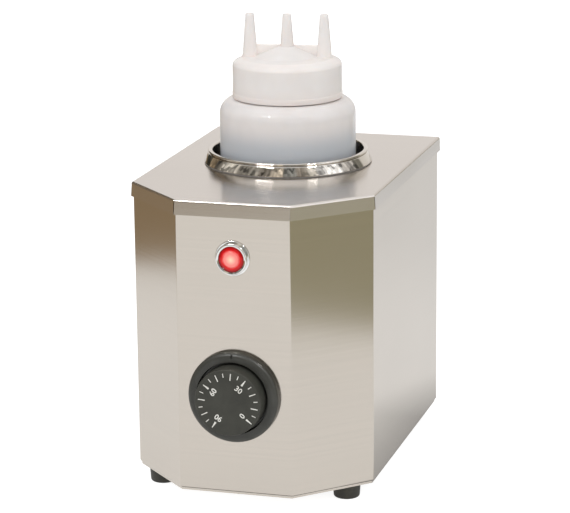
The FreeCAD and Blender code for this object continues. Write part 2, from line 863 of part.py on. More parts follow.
def dial_knob():
    """Turning drum: a flat face, a skirt, a boss with a flat bore and ribs between."""
    low = bezel_floor + knob_clear
    under = knob_reach - knob_face
    base = knob_radius + knob_flare
    knob = turned([
        (0, under), (knob_radius - knob_wall, under), (base - knob_wall, low), (base, low),
        (knob_radius, knob_reach - knob_edge), (knob_radius - knob_edge, knob_reach), (0, knob_reach)])
    core = rod(knob_boss_radius, low, under)
    for k in range(knob_ribs):
        rib = block(0, knob_radius - knob_wall / 2, -knob_rib / 2, knob_rib / 2, low + knob_clear, under)
        rib.rotate(Vector(0, 0, 0), UP, k * FULL_TURN / knob_ribs)
        core = core.fuse(rib)
    bore = rod(shaft_radius + shaft_fit, low - overrun, under)
    flat_y = shaft_radius - shaft_flat + shaft_fit
    bore = bore.cut(block(-knob_radius, knob_radius, flat_y, knob_radius, 0, knob_reach))
    return on_front(knob.fuse(core).cut(bore).removeSplitter(), dial_z)


def lamp_bezel():
    """Turned bezel of the pilot lamp, with a thin flange against the panel."""
    pocket = lamp_radius - lamp_rim
    flange_turn = lamp_flange - lamp_flange_edge
    bezel = turned([
        (lamp_body_radius + lens_fit, 0), (lamp_flange_radius, 0), (lamp_flange_radius, flange_turn),
        arc((lamp_flange_radius - lamp_flange_edge, flange_turn), lamp_flange_edge, 0, 90),
        (lamp_radius, lamp_flange), (lamp_radius, lamp_reach - lamp_edge),
        arc((lamp_radius - lamp_edge, lamp_reach - lamp_edge), lamp_edge, 0, 90),
        (pocket, lamp_reach - lamp_edge / 2), (pocket, lamp_floor),
        (lamp_body_radius + lens_fit, lamp_floor)])
    return on_front(bezel, lamp_z)


def lamp_lens():
    """Domed lens in the bezel's mouth."""
    radius = lamp_radius - lamp_rim - lens_fit
    seat = lamp_floor + lamp_head
    edge = lamp_reach - lamp_edge
    sphere = (radius ** 2 + lens_dome ** 2) / (2 * lens_dome)
    half = math.asin(radius / sphere) / 2
    crown = (0, edge + lens_dome)
    middle = (sphere * math.sin(half), edge + lens_dome - sphere + sphere * math.cos(half))
    return on_front(turned([(0, seat), (radius, seat), (radius, edge), (middle, crown)]), lamp_z)


def lamp_body():
    """Threaded body of the lamp with its head and two blades."""
    back = -lamp_body_length
    body = rod(lamp_body_radius, back, lamp_floor)
    body = body.fuse(rod(lamp_radius - lamp_rim - lens_fit, lamp_floor, lamp_floor + lamp_head))
    for x in (-lamp_body_radius / 2, lamp_body_radius / 2):
        body = body.fuse(block(x - blade_sheet / 2, x + blade_sheet / 2, -lamp_blade_width / 2,
                               lamp_blade_width / 2, back - lamp_blade_length, back))
    return on_front(body, lamp_z)


def lamp_nut():
    """Nut behind the front panel."""
    nut = hexagon(lamp_nut_flats, -wrap_sheet - lamp_nut_height, -wrap_sheet)
    return on_front(nut.cut(rod(lamp_body_radius + thread_fit, -lamp_body_length, lamp_reach)), lamp_z)


def gland_body():
    """Body of the cable gland through the rear panel."""
    inner_end = -panel_sheet - gland_inner_length
    outer_end = gland_flange + gland_outer_length
    body = hexagon(gland_flats, 0, gland_flange)
    body = body.fuse(rod(gland_thread_radius, inner_end, outer_end))
    return on_rear(body.cut(rod(gland_bore, inner_end - overrun, outer_end + overrun)), gland_side, gland_z)


def gland_dome_nut():
    """Fluted dome nut on the outer end of the gland."""
    low = gland_flange
    thread = gland_thread_radius + gland_thread_gap
    nut = turned([
        (thread, low), (gland_nut_radius, low), (gland_nut_radius, gland_nut_reach - gland_nut_edge),
        arc((gland_nut_radius - gland_nut_edge, gland_nut_reach - gland_nut_edge), gland_nut_edge, 0, 90),
        (gland_nut_mouth, gland_nut_reach), (gland_nut_mouth, gland_shoulder),
        (gland_seal_bore + gland_seal_wall, gland_shoulder), (thread, gland_shoulder - gland_seal_wall)])
    for k in range(gland_nut_flutes):
        angle = math.radians(k * FULL_TURN / gland_nut_flutes)
        x = (gland_nut_radius + gland_flute_radius / 2) * math.cos(angle)
        y = (gland_nut_radius + gland_flute_radius / 2) * math.sin(angle)
        nut = nut.cut(rod(gland_flute_radius, low + gland_flute_radius, gland_nut_reach, x, y))
    return on_rear(nut, gland_side, gland_z)


def gland_seal():
    """Rubber sleeve that grips the cord."""
    low = gland_flange + gland_outer_length
    return on_rear(ring(gland_seal_bore, gland_seal_bore + gland_seal_wall, low, low + gland_seal_length),
                   gland_side, gland_z)


def gland_lock_nut():
    """Nut behind the rear panel."""
    nut = hexagon(gland_lock_flats, -panel_sheet - gland_lock_height, -panel_sheet)
    bore = rod(gland_thread_radius + thread_fit, -housing_depth, housing_depth)
    return on_rear(nut.cut(bore), gland_side, gland_z)


def block_pole_offsets():
    """Distances of the poles from the middle of the terminal block."""
    pitch = block_length / block_poles
    return [(k - (block_poles - 1) / 2) * pitch for k in range(block_poles)]


def terminal_block():
    """Ceramic block with a wire entry and a screw well for each pole."""
    top = casing_z + block_height
    body = block(-block_length / 2, block_length / 2, -block_width / 2, block_width / 2, casing_z, top)
    body = body.makeFillet(thermostat_edge, upright_edges(body))
    for x in block_pole_offsets():
        entry = Part.makeCylinder(block_entry_radius, 2 * block_width,
                                  Vector(x, -block_width, casing_z + block_entry_height), BACKWARD)
        well = rod(block_well_radius, casing_z + block_entry_height, top + overrun, x)
        body = body.cut(entry).cut(well)
    return body.translated(Vector(block_x, block_y, 0))


def terminal_screws():
    """One clamping screw in each pole of the block."""
    low = casing_z + block_entry_height + block_entry_radius
    screws = [rod(block_screw_radius, low, low + block_screw_height, x) for x in block_pole_offsets()]
    return group(screws).translated(Vector(block_x, block_y, 0))


def earth_stud():
    """Stud welded to the base plate."""
    return rod(earth_radius, casing_z, casing_z + earth_length, earth_x, earth_y)


def earth_nut():
    """Nut and washer on the earth stud."""
    washer_top = casing_z + bridge_washer_sheet
    bore = rod(earth_radius + thread_fit, 0, cover_z)
    washer = rod(earth_washer_radius, casing_z, washer_top).cut(bore)
    nut = hexagon(earth_nut_flats, washer_top, washer_top + earth_nut_height).cut(bore)
    return group([washer, nut]).translated(Vector(earth_x, earth_y, 0))


def foot():
    """Tapered rubber foot with a recess for the head of its screw."""
    solid = turned([
        (0, 0), (foot_bottom_radius - foot_edge, 0),
        arc((foot_bottom_radius - foot_edge, foot_edge), foot_edge, -90, 0),
        (foot_top_radius, foot_height), (0, foot_height)])
    solid = solid.cut(rod(foot_recess_radius, -overrun, foot_height - foot_web))
    return solid.cut(rod(foot_screw.shank_radius + hole_gap, 0, foot_height + overrun))


def foot_screws():
    """Screws up through the feet, the base plate and the wrap's flange."""
    return group([seated(screw_solid(foot_screw), place, DOWN)
                  for place in foot_centres(foot_height - foot_web)])


def foot_nuts():
    """Nuts on the foot screws."""
    return group([seated(nut_solid(foot_nut, foot_screw), place, UP)
                  for place in foot_centres(casing_z + wrap_sheet)])


def base_screws():
    """Screws up through the base plate into the wrap's flange."""
    drop = Vector(0, 0, base_sheet)
    return group([seated(screw_solid(sheet_screw), place - drop, DOWN) for place in base_screw_places()])


def rear_panel_screws():
    """Screws through the rear panel into the wrap's rear flanges."""
    return group([seated(screw_solid(sheet_screw), place, BACKWARD) for place in rear_screw_places()])


def cover_screws():
    """Screws through the cover's rear flange."""
    return group([seated(screw_solid(sheet_screw), place, BACKWARD) for place in cover_screw_places()])


def bottle_shape(inset, low, mouth):
    """Bottle's solid outline, drawn in by inset, from its floor to its mouth."""
    radius = bottle_radius - inset
    edge = bottle_edge - inset
    shoulder = bottle_shoulder_radius - inset
    neck = neck_radius - (neck_wall if inset else 0)
    bend = neck_fillet
    shoulder_top = shoulder_z - inset
    return turned([
        (0, low + bottle_push_up), ((radius / 2, low + bottle_push_up * 3 / 4), (radius - edge, low)),
        arc((radius - edge, low + edge), edge, -90, 0),
        (radius, shoulder_top - shoulder),
        arc((radius - shoulder, shoulder_top - shoulder), shoulder, 0, 90),
        (neck + bend, shoulder_top),
        arc((neck + bend, shoulder_top + bend), bend, 270, 180),
        (neck, mouth), (0, mouth)])


def squeeze_bottle():
    """Blow-moulded bottle with a pushed-up base and a wide neck."""
    outside = bottle_shape(0, bottle_z, neck_top_z)
    inside = bottle_shape(bottle_wall, bottle_z + bottle_wall, neck_top_z + overrun)
    return in_well(outside.cut(inside))


def cap_seal():
    """Sealing ring between the neck's rim and the cap."""
    outer = neck_radius - seal_gap
    return in_well(ring(outer - seal_width, outer, seal_z, seal_z + seal_thickness))


def nozzle_axes():
    """Centres of the nozzles, in a row across the cap."""
    angle = math.radians(nozzle_turn)
    middle = (nozzle_count - 1) / 2
    reaches = [(k - middle) * nozzle_spacing for k in range(nozzle_count)]
    return [(reach * math.cos(angle), reach * math.sin(angle)) for reach in reaches]


def nozzle_cap():
    """Screw cap with a shallow cone and three tapered nozzles in a row, joined by a web."""
    corner = cap_radius - cap_edge
    plateau = cap_corner_z + cap_plateau_rise
    cone = cap_corner_z + cap_cone_rise
    apex = cap_corner_z + cap_apex_rise
    bead = cap_radius + cap_bead
    outside = turned([
        (0, skirt_z), (cap_radius, skirt_z), (bead, skirt_z + cap_bead),
        (bead, skirt_z + cap_bead_height - cap_bead), (cap_radius, skirt_z + cap_bead_height),
        (cap_radius, cap_corner_z), arc((corner, cap_corner_z), cap_edge, 0, cap_edge_turn),
        (cap_plateau_radius, plateau), (cap_cone_radius, cone), (cap_apex_radius, apex), (0, apex)])
    for x, y in nozzle_axes():
        nozzle = turned([
            (0, cap_under_z), (nozzle_base_radius + nozzle_flare, cap_under_z),
            (nozzle_base_radius + nozzle_flare, plateau - nozzle_flare_drop),
            (nozzle_base_radius, plateau + nozzle_flare_height),
            (nozzle_tip_radius, nozzle_tip_z), (0, nozzle_tip_z)])
        outside = outside.fuse(nozzle.translated(Vector(x, y, 0)))
    web = block(-nozzle_spacing, nozzle_spacing, -cap_web_sheet / 2, cap_web_sheet / 2,
                cap_under_z, cap_corner_z + cap_web_rise)
    web.rotate(Vector(0, 0, 0), UP, nozzle_turn)
    outside = outside.fuse(web)
    skirt_inner = cap_radius - cap_wall
    plug_outer = neck_radius - neck_wall - plug_gap
    plug_inner = plug_outer - plug_wall
    inside = turned([
        (0, skirt_z - overrun), (skirt_inner, skirt_z - overrun), (skirt_inner, cap_under_z - cap_wall),
        (neck_radius + cap_bevel_gap, cap_under_z), (plug_inner, cap_under_z),
        (cap_cone_radius, cone - cap_top_wall), (cap_apex_radius, apex - cap_top_wall),
        (0, apex - cap_top_wall)])
    plug = ring(plug_inner, plug_outer, neck_top_z - plug_depth, cap_under_z)
    cap = outside.cut(inside.cut(plug))
    bore = turned([
        (0, cap_under_z), (nozzle_bore_base, cap_under_z),
        (nozzle_bore_tip, nozzle_tip_z - nozzle_bore_straight),
        (nozzle_bore_tip, nozzle_tip_z + overrun), (0, nozzle_tip_z + overrun)])
    for x, y in nozzle_axes():
        cap = cap.cut(bore.translated(Vector(x, y, 0)))
    return in_well(cap)


pieces = {
    "casing_wrap": casing_wrap,
    "rear_panel": rear_panel,
    "top_cover": top_cover,
    "base_plate": base_plate,
    "well_pot": well_pot,
    "well_collar": well_collar,
    "collar_gasket": collar_gasket,
    "heater_band": heater_band,
    "heater_clamp": heater_clamp,
    "insulation_sleeve": insulation_sleeve,
    "floor_pad": floor_pad,
    "well_bridge": well_bridge,
    "bridge_fixing": bridge_fixing,
    "heat_limiter": heat_limiter,
    "sensor_bulb": sensor_bulb,
    "sensor_capillary": sensor_capillary,
    "bulb_clip": bulb_clip,
    "thermostat_body": thermostat_body,
    "thermostat_screws": thermostat_screws,
    "thermostat_shaft": thermostat_shaft,
    "dial_bezel": dial_bezel,
    "dial_knob": dial_knob,
    "lamp_bezel": lamp_bezel,
    "lamp_lens": lamp_lens,
    "lamp_body": lamp_body,
    "lamp_nut": lamp_nut,
    "gland_body": gland_body,
    "gland_dome_nut": gland_dome_nut,
    "gland_seal": gland_seal,
    "gland_lock_nut": gland_lock_nut,
    "terminal_block": terminal_block,
    "terminal_screws": terminal_screws,
    "earth_stud": earth_stud,
    "earth_nut": earth_nut,
    "foot_screws": foot_screws,
    "foot_nuts": foot_nuts,
    "base_screws": base_screws,
    "rear_panel_screws": rear_panel_screws,
    "cover_screws": cover_screws,
    "squeeze_bottle": squeeze_bottle,
    "cap_seal": cap_seal,
    "nozzle_cap": nozzle_cap,
}

os.makedirs("parts", exist_ok=True)
to_origin = Vector(0, -origin_y, 0)
solids = {name: make() for name, make in pieces.items()}
for name, (x, y) in foot_places.items():
    solids[name] = foot().translated(Vector(x, y, 0))
for name, solid in solids.items():
    solid.translated(to_origin).exportStep("parts/" + name + ".step")
    print(name, "valid" if solid.isValid() else "NOT VALID", len(solid.Solids), round(solid.Volume, 1))
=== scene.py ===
"""Looks of the hot fudge topping warmer: a squeeze bottle in a heated well, built round its CAD model."""

import logging
import math
from collections.abc import Mapping, Sequence
from dataclasses import dataclass, field
from enum import Enum
from typing import Any

import bmesh
import bpy
from mathutils import Matrix, Vector


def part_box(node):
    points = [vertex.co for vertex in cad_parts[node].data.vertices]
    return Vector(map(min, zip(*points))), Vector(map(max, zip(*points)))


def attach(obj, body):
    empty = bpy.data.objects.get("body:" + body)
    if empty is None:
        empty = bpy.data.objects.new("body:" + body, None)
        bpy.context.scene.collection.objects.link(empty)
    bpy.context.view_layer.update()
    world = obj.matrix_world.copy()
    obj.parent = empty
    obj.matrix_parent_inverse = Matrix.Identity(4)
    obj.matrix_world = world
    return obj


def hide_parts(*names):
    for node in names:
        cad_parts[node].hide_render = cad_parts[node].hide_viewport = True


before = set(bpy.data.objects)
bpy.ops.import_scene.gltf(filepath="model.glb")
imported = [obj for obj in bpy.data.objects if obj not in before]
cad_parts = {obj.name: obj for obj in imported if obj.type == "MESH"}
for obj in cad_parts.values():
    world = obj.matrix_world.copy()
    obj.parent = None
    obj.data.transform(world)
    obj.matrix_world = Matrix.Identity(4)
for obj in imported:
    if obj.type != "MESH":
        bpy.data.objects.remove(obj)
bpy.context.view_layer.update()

logging.basicConfig(level=logging.INFO, format="%(message)s")
log = logging.getLogger("topping_warmer")

MM = 0.001
JOINT_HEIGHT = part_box("casing_wrap")[0].z
# X and Y of the well's axis, in metres
WELL_AXIS = (0.0, 0.01085)
# Angle in radians that a pattern of rings runs through in one unit of its scale
RING_RADIANS = 20
Tree = bpy.types.NodeTree
Node = bpy.types.Node
Link = bpy.types.NodeSocket
Shape = bmesh.types.BMesh
Piece = bpy.types.Object
Colour = tuple[float, float, float, float]


class Body(Enum):
    """Moving bodies that a piece can ride on."""

    HOUSING = "housing"
    KNOB = "knob"
    BOTTLE = "bottle"
    CAP = "cap"


class Grain(Enum):
    """How a metal surface was worked, which sets the way its fine lines run."""

    ALONG = "along"
    ROUND = "round"


def linear(hex_colour: str) -> Colour:
    """Turn an sRGB hex colour into a linear one.

    Args:
        hex_colour: Colour such as "#d4ccc3".

    Returns:
        Red, green and blue in linear light, and full opacity.
    """
    parts = [int(hex_colour[k:k + 2], 16) / 255 for k in (1, 3, 5)]
    light = [p / 12.92 if p <= 0.04045 else ((p + 0.055) / 1.055) ** 2.4 for p in parts]
    return (*light, 1.0)


def per_metre(spacing: float) -> float:
    """Texture scale that gives a spacing in mm."""
    return 1 / (spacing * MM)


def add_node(tree: Tree, kind: str, inputs: Mapping[Any, Any] | None = None,
             stops: Sequence[tuple[float, Colour]] = (), **settings: Any) -> Node:
    """Add a node, set it up and link what feeds it.

    Args:
        tree: Node tree that gets the node.
        kind: Type name of the node.
        inputs: Plain values or other nodes' outputs, by the input's name or number.
        stops: Places and colours of a colour ramp.
        **settings: Attributes of the node.

    Returns:
        The new node.
    """
    node = tree.nodes.new(kind)
    for name, value in settings.items():
        setattr(node, name, value)
    if stops:
        ramp = node.color_ramp
        while len(ramp.elements) < len(stops):
            ramp.elements.new(1.0)
        for element, (place, colour) in zip(ramp.elements, stops):
            element.position = place
            element.color = colour
    for name, value in (inputs or {}).items():
        if isinstance(value, Link):
            tree.links.new(value, node.inputs[name])
        else:
            node.inputs[name].default_value = value
    return node


def split(tree: Tree, source: str = "Object") -> Node:
    """Split one of a point's vectors into X, Y and Z.

    Args:
        tree: Node tree to add to.
        source: Which vector: "Object", "Normal" or "Generated".

    Returns:
        The node with the three outputs.
    """
    coords = add_node(tree, "ShaderNodeTexCoord")
    return add_node(tree, "ShaderNodeSeparateXYZ", {0: coords.outputs[source]})


_made: dict[str, bpy.types.Material] = {}


@dataclass(frozen=True)
class Finish:
    """Surface finish with its own procedural material, made once and then shared."""

    name: str
    colour: str
    shade: str
    roughness: float
    spread: float = 0.05

    def material(self) -> bpy.types.Material:
        """Return the material, made on first use.

        Returns:
            The one material that every piece with this finish shares.
        """
        if self.name not in _made:
            made = bpy.data.materials.new(self.name)
            made.use_nodes = True
            shader = made.node_tree.nodes["Principled BSDF"]
            self.dress(made.node_tree, shader)
            _made[self.name] = made
        return _made[self.name]

    def dress(self, tree: Tree, shader: Node) -> None:
        """Set the shader up; each finish has its own way."""
        raise NotImplementedError

    def place(self, tree: Tree, scale: Sequence[float] = (1, 1, 1),
              centre: Sequence[float] = (0, 0, 0)) -> Link:
        """Object coordinates, moved to a centre and then scaled.

        Args:
            tree: Node tree of the material.
            scale: Scale along each axis.
            centre: Point in metres that becomes the origin.

        Returns:
            The vector that a texture reads.
        """
        coords = add_node(tree, "ShaderNodeTexCoord")
        moved = add_node(tree, "ShaderNodeMapping",
                         {"Vector": coords.outputs["Object"], "Location": [-c for c in centre]})
        scaled = add_node(tree, "ShaderNodeMapping", {"Vector": moved.outputs[0], "Scale": scale})
        return scaled.outputs[0]

    def shades(self, tree: Tree, shader: Node, factor: Link) -> Link:
        """Blend the finish's two colours by a factor and feed the base colour.

        Args:
            tree: Node tree of the material.
            shader: Shader that gets the colour.
            factor: 0 for the first colour and 1 for the second.

        Returns:
            The blended colour.
        """
        mix = add_node(tree, "ShaderNodeMix",
                       {"Factor": factor, "A": linear(self.colour), "B": linear(self.shade)},
                       data_type="RGBA")
        tree.links.new(mix.outputs["Result"], shader.inputs["Base Color"])
        return mix.outputs["Result"]

    def uneven(self, tree: Tree, shader: Node, factor: Link) -> None:
        """Let the roughness wander round its middle by a factor from 0 to 1.

        Args:
            tree: Node tree of the material.
            shader: Shader that gets the roughness.
            factor: 0 where the surface is glossiest and 1 where it is dullest.
        """
        reach = add_node(tree, "ShaderNodeMapRange",
                         {"Value": factor, "To Min": self.roughness - self.spread,
                          "To Max": self.roughness + self.spread})
        tree.links.new(reach.outputs[0], shader.inputs["Roughness"])

    def relief(self, tree: Tree, shader: Node, height: Link, depth: float) -> None:
        """Feed the normal with a relief.

        Args:
            tree: Node tree of the material.
            shader: Shader that gets the normal.
            height: Height from 0 to 1.
            depth: Depth in mm that 1 stands for.
        """
        bump = add_node(tree, "ShaderNodeBump", {"Height": height, "Distance": depth * MM})
        tree.links.new(bump.outputs[0], shader.inputs["Normal"])


@dataclass(frozen=True)
class StainlessSteel(Finish):
    """Stainless steel sheet, brushed along its length, or spun and drawn so that its lines run round.

    The centre and the joint's height are in metres and the other lengths in mm.
    """

    grain: Grain = Grain.ALONG
    line: float = 1.1
    depth: float = 0.004
    centre: tuple[float, float] = (0.0, 0.0)
    joint: float | None = None
    # Colour and fade heights in mm of the painted shade in the joint where the case meets its base
    soil: str = "#3b332c"
    soil_top: float = 0.75
    soil_full: float = 0.45
    clouds: float = 70.0
    along: float = 6.0

    def dress(self, tree: Tree, shader: Node) -> None:
        """Fine lines in colour, gloss and relief, under faint clouds from handling.

        Args:
            tree: Node tree of the material.
            shader: Shader that gets this finish.
        """
        shader.inputs["Metallic"].default_value = 1.0
        lines = self.lines(tree)
        clouds = add_node(tree, "ShaderNodeTexNoise",
                          {"Vector": self.place(tree), "Scale": per_metre(self.clouds), "Detail": 1.0})
        tone = add_node(tree, "ShaderNodeMix", {"Factor": 0.7, "A": clouds.outputs[0], "B": lines})
        steel = self.shades(tree, shader, tone.outputs[0])
        # Painted shade along the bottom edge, in the joint where the case meets its base
        if self.joint is not None:
            self.soil_joint(tree, shader, steel)
        self.uneven(tree, shader, clouds.outputs[0])
        self.relief(tree, shader, lines, self.depth)

    def soil_joint(self, tree: Tree, shader: Node, steel: Link) -> None:
        """Paint the joint's shade on the lowest half millimetre, where the sheet's raw edge meets the base.

        Args:
            tree: Node tree of the material.
            shader: Shader that gets the colour.
            steel: Colour of the sheet above the painted shade.
        """
        axes = split(tree)
        near = add_node(tree, "ShaderNodeMapRange",
                        {"Value": axes.outputs["Z"], "From Min": self.joint + self.soil_top * MM,
                         "From Max": self.joint + self.soil_full * MM})
        joint_shaded = add_node(tree, "ShaderNodeMix",
                          {"Factor": near.outputs[0], "A": steel, "B": linear(self.soil)}, data_type="RGBA")
        tree.links.new(joint_shaded.outputs["Result"], shader.inputs["Base Color"])

    def lines(self, tree: Tree) -> Link:
        """Height of the fine lines; the real ones are 0.1 mm apart and are drawn ten times as coarse.

        Args:
            tree: Node tree of the material.

        Returns:
            Height from 0 to 1.
        """
        fine = per_metre(self.line)
        if self.grain is Grain.ROUND:
            ring = add_node(tree, "ShaderNodeTexWave",
                            {"Vector": self.place(tree, centre=(*self.centre, 0)),
                             "Scale": fine / RING_RADIANS,
                             "Distortion": 1.5, "Detail": 2.0, "Detail Scale": 3.0},
                            wave_type="RINGS", rings_direction="Z")
            return ring.outputs["Fac"]
        upright = add_node(tree, "ShaderNodeTexNoise",
                           {"Vector": self.place(tree, (self.along, self.along, fine)), "Scale": 1.0,
                            "Detail": 3.0})
        level = add_node(tree, "ShaderNodeTexNoise",
                         {"Vector": self.place(tree, (self.along, fine, self.along)), "Scale": 1.0,
                          "Detail": 3.0})
        facing = split(tree, "Normal")
        flat = add_node(tree, "ShaderNodeMath", {0: facing.outputs["Z"]}, operation="ABSOLUTE")
        lying = add_node(tree, "ShaderNodeMath", {0: flat.outputs[0], 1: 0.7}, operation="GREATER_THAN")
        mix = add_node(tree, "ShaderNodeMix",
                       {"Factor": lying.outputs[0], "A": upright.outputs[0], "B": level.outputs[0]})
        return mix.outputs[0]


@dataclass(frozen=True)
class PlatedMetal(Finish):
    """Small metal part, plated or bare, with mottling from the bath and darker rubbed patches."""

    mottle: float = 2.4
    depth: float = 0.01

    def dress(self, tree: Tree, shader: Node) -> None:
        """Mottled colour and gloss over a slight orange peel.

        Args:
            tree: Node tree of the material.
            shader: Shader that gets this finish.
        """
        shader.inputs["Metallic"].default_value = 1.0
        mottled = add_node(tree, "ShaderNodeTexNoise",
                           {"Vector": self.place(tree), "Scale": per_metre(self.mottle), "Detail": 5.0,
                            "Roughness": 0.65})
        pulled = add_node(tree, "ShaderNodeMapRange",
                          {"Value": mottled.outputs[0], "From Min": 0.35, "From Max": 0.65})
        self.shades(tree, shader, pulled.outputs[0])
        self.uneven(tree, shader, pulled.outputs[0])
        self.relief(tree, shader, mottled.outputs[0], self.depth)


@dataclass(frozen=True)
class MouldedPlastic(Finish):
    """Injection-moulded plastic with a fine spark-eroded texture and faint flow marks."""

    texture: float = 0.45
    depth: float = 0.02
    coat: float = 0.0
    index: float = 1.49
    gloss: float = 0.5
    flow: float = 11.0

    def dress(self, tree: Tree, shader: Node) -> None:
        """Colour that drifts with the flow of the plastic, and a pebbled skin.

        Args:
            tree: Node tree of the material.
            shader: Shader that gets this finish.
        """
        shader.inputs["IOR"].default_value = self.index
        shader.inputs["Specular IOR Level"].default_value = self.gloss
        shader.inputs["Coat Weight"].default_value = self.coat
        shader.inputs["Coat Roughness"].default_value = 0.12
        flow = add_node(tree, "ShaderNodeTexNoise",
                        {"Vector": self.place(tree), "Scale": per_metre(self.flow), "Detail": 3.0,
                         "Distortion": 0.6})
        skin = add_node(tree, "ShaderNodeTexVoronoi",
                        {"Vector": self.place(tree), "Scale": per_metre(self.texture)}, feature="SMOOTH_F1")
        drift = add_node(tree, "ShaderNodeMapRange",
                         {"Value": flow.outputs[0], "From Min": 0.3, "From Max": 0.7})
        self.shades(tree, shader, drift.outputs[0])
        self.uneven(tree, shader, drift.outputs[0])
        self.relief(tree, shader, skin.outputs["Distance"], self.depth)


@dataclass(frozen=True)
class Polyethylene(Finish):
    """Natural low-density polyethylene: milky, waxy, with a thin gloss, and painted shade low down.

    The painted shade fades in between two heights, in metres; the other lengths are in mm.
    """

    # Colour of the painted shade low down, and the heights where it is full and where it starts
    tint: str = "#aeb6bb"
    tint_low: float = 0.0
    tint_high: float = 0.0
    rings: float = 3.2
    ring_depth: float = 0.03
    ripple: float = 9.0
    ripple_depth: float = 0.0
    wall: float = 17.0
    glow: float = 0.6
    glow_reach: float = 5.0
    gloss: float = 0.3
    skin: float = 0.6

    def dress(self, tree: Tree, shader: Node) -> None:
        """Two milky colours by wall thickness, painted shade low down, and the ripples of blown plastic.

        Args:
            tree: Node tree of the material.
            shader: Shader that gets this finish.
        """
        shader.inputs["IOR"].default_value = 1.51
        shader.inputs["Roughness"].default_value = self.roughness
        shader.inputs["Specular IOR Level"].default_value = self.gloss
        shader.inputs["Subsurface Weight"].default_value = self.glow
        shader.inputs["Subsurface Scale"].default_value = self.glow_reach * MM
        shader.inputs["Subsurface Radius"].default_value = (1.0, 0.85, 0.75)
        shader.inputs["Coat Weight"].default_value = self.skin
        shader.inputs["Coat Roughness"].default_value = 0.07
        thick = add_node(tree, "ShaderNodeTexNoise",
                         {"Vector": self.place(tree, (1, 1, 0.6)), "Scale": per_metre(self.wall),
                          "Detail": 2.0})
        wander = add_node(tree, "ShaderNodeMapRange",
                          {"Value": thick.outputs[0], "From Min": 0.3, "From Max": 0.7})
        milky = self.shades(tree, shader, wander.outputs[0])
        axes = split(tree)
        # Painted shade: a darker, cooler colour fades in towards the bottom
        low = add_node(tree, "ShaderNodeMapRange",
                       {"Value": axes.outputs["Z"], "From Min": self.tint_high, "From Max": self.tint_low},
                       interpolation_type="SMOOTHSTEP")
        low_shaded = add_node(tree, "ShaderNodeMix",
                          {"Factor": low.outputs[0], "A": milky, "B": linear(self.tint)}, data_type="RGBA")
        tree.links.new(low_shaded.outputs["Result"], shader.inputs["Base Color"])
        rings = add_node(tree, "ShaderNodeTexNoise",
                         {"Vector": self.place(tree, (3, 3, per_metre(self.rings))), "Scale": 1.0,
                          "Detail": 2.0})
        ripple = add_node(tree, "ShaderNodeTexNoise",
                          {"Vector": self.place(tree, (1, 1, 0.8)), "Scale": per_metre(self.ripple),
                           "Detail": 1.0})
        fine = add_node(tree, "ShaderNodeBump",
                        {"Height": rings.outputs[0], "Distance": self.ring_depth * MM})
        broad = add_node(tree, "ShaderNodeBump",
                         {"Height": ripple.outputs[0], "Distance": self.ripple_depth * MM,
                          "Normal": fine.outputs[0]})
        tree.links.new(broad.outputs[0], shader.inputs["Normal"])


@dataclass(frozen=True)
class Rubber(Finish):
    """Moulded rubber or silicone: matt, dusty in its hollows, with a soft sheen at grazing angles."""

    def dress(self, tree: Tree, shader: Node) -> None:
        """Dusty patches over a dull skin.

        Args:
            tree: Node tree of the material.
            shader: Shader that gets this finish.
        """
        shader.inputs["Sheen Weight"].default_value = 0.15
        shader.inputs["Sheen Roughness"].default_value = 0.5
        dust = add_node(tree, "ShaderNodeTexNoise",
                        {"Vector": self.place(tree), "Scale": per_metre(2.2), "Detail": 5.0})
        dusty = add_node(tree, "ShaderNodeMapRange",
                         {"Value": dust.outputs[0], "From Min": 0.4, "From Max": 0.75})
        self.shades(tree, shader, dusty.outputs[0])
        self.uneven(tree, shader, dusty.outputs[0])
        self.relief(tree, shader, dust.outputs[0], 0.04)


@dataclass(frozen=True)
class FibreMat(Finish):
    """Glass wool, foam or pressed board: fibres or cells that catch light one by one."""

    fibre: float = 0.9
    stretch: tuple[float, float, float] = (1.0, 1.0, 1.0)
    depth: float = 0.5

    def dress(self, tree: Tree, shader: Node) -> None:
        """Tangled fibres from two crossed noises.

        Args:
            tree: Node tree of the material.
            shader: Shader that gets this finish.
        """
        shader.inputs["Sheen Weight"].default_value = 0.3
        shader.inputs["Sheen Roughness"].default_value = 0.6
        first = add_node(tree, "ShaderNodeTexNoise",
                         {"Vector": self.place(tree, self.stretch), "Scale": per_metre(self.fibre),
                          "Detail": 6.0, "Roughness": 0.7, "Distortion": 1.2})
        second = add_node(tree, "ShaderNodeTexNoise",
                          {"Vector": self.place(tree, self.stretch[::-1]), "Scale": per_metre(self.fibre * 3),
                           "Detail": 4.0, "Distortion": 0.8})
        tangle = add_node(tree, "ShaderNodeMath", {0: first.outputs[0], 1: second.outputs[0]},
                          operation="MULTIPLY")
        pulled = add_node(tree, "ShaderNodeMapRange",
                          {"Value": tangle.outputs[0], "From Min": 0.12, "From Max": 0.38})
        self.shades(tree, shader, pulled.outputs[0])
        self.uneven(tree, shader, pulled.outputs[0])
        self.relief(tree, shader, tangle.outputs[0], self.depth)


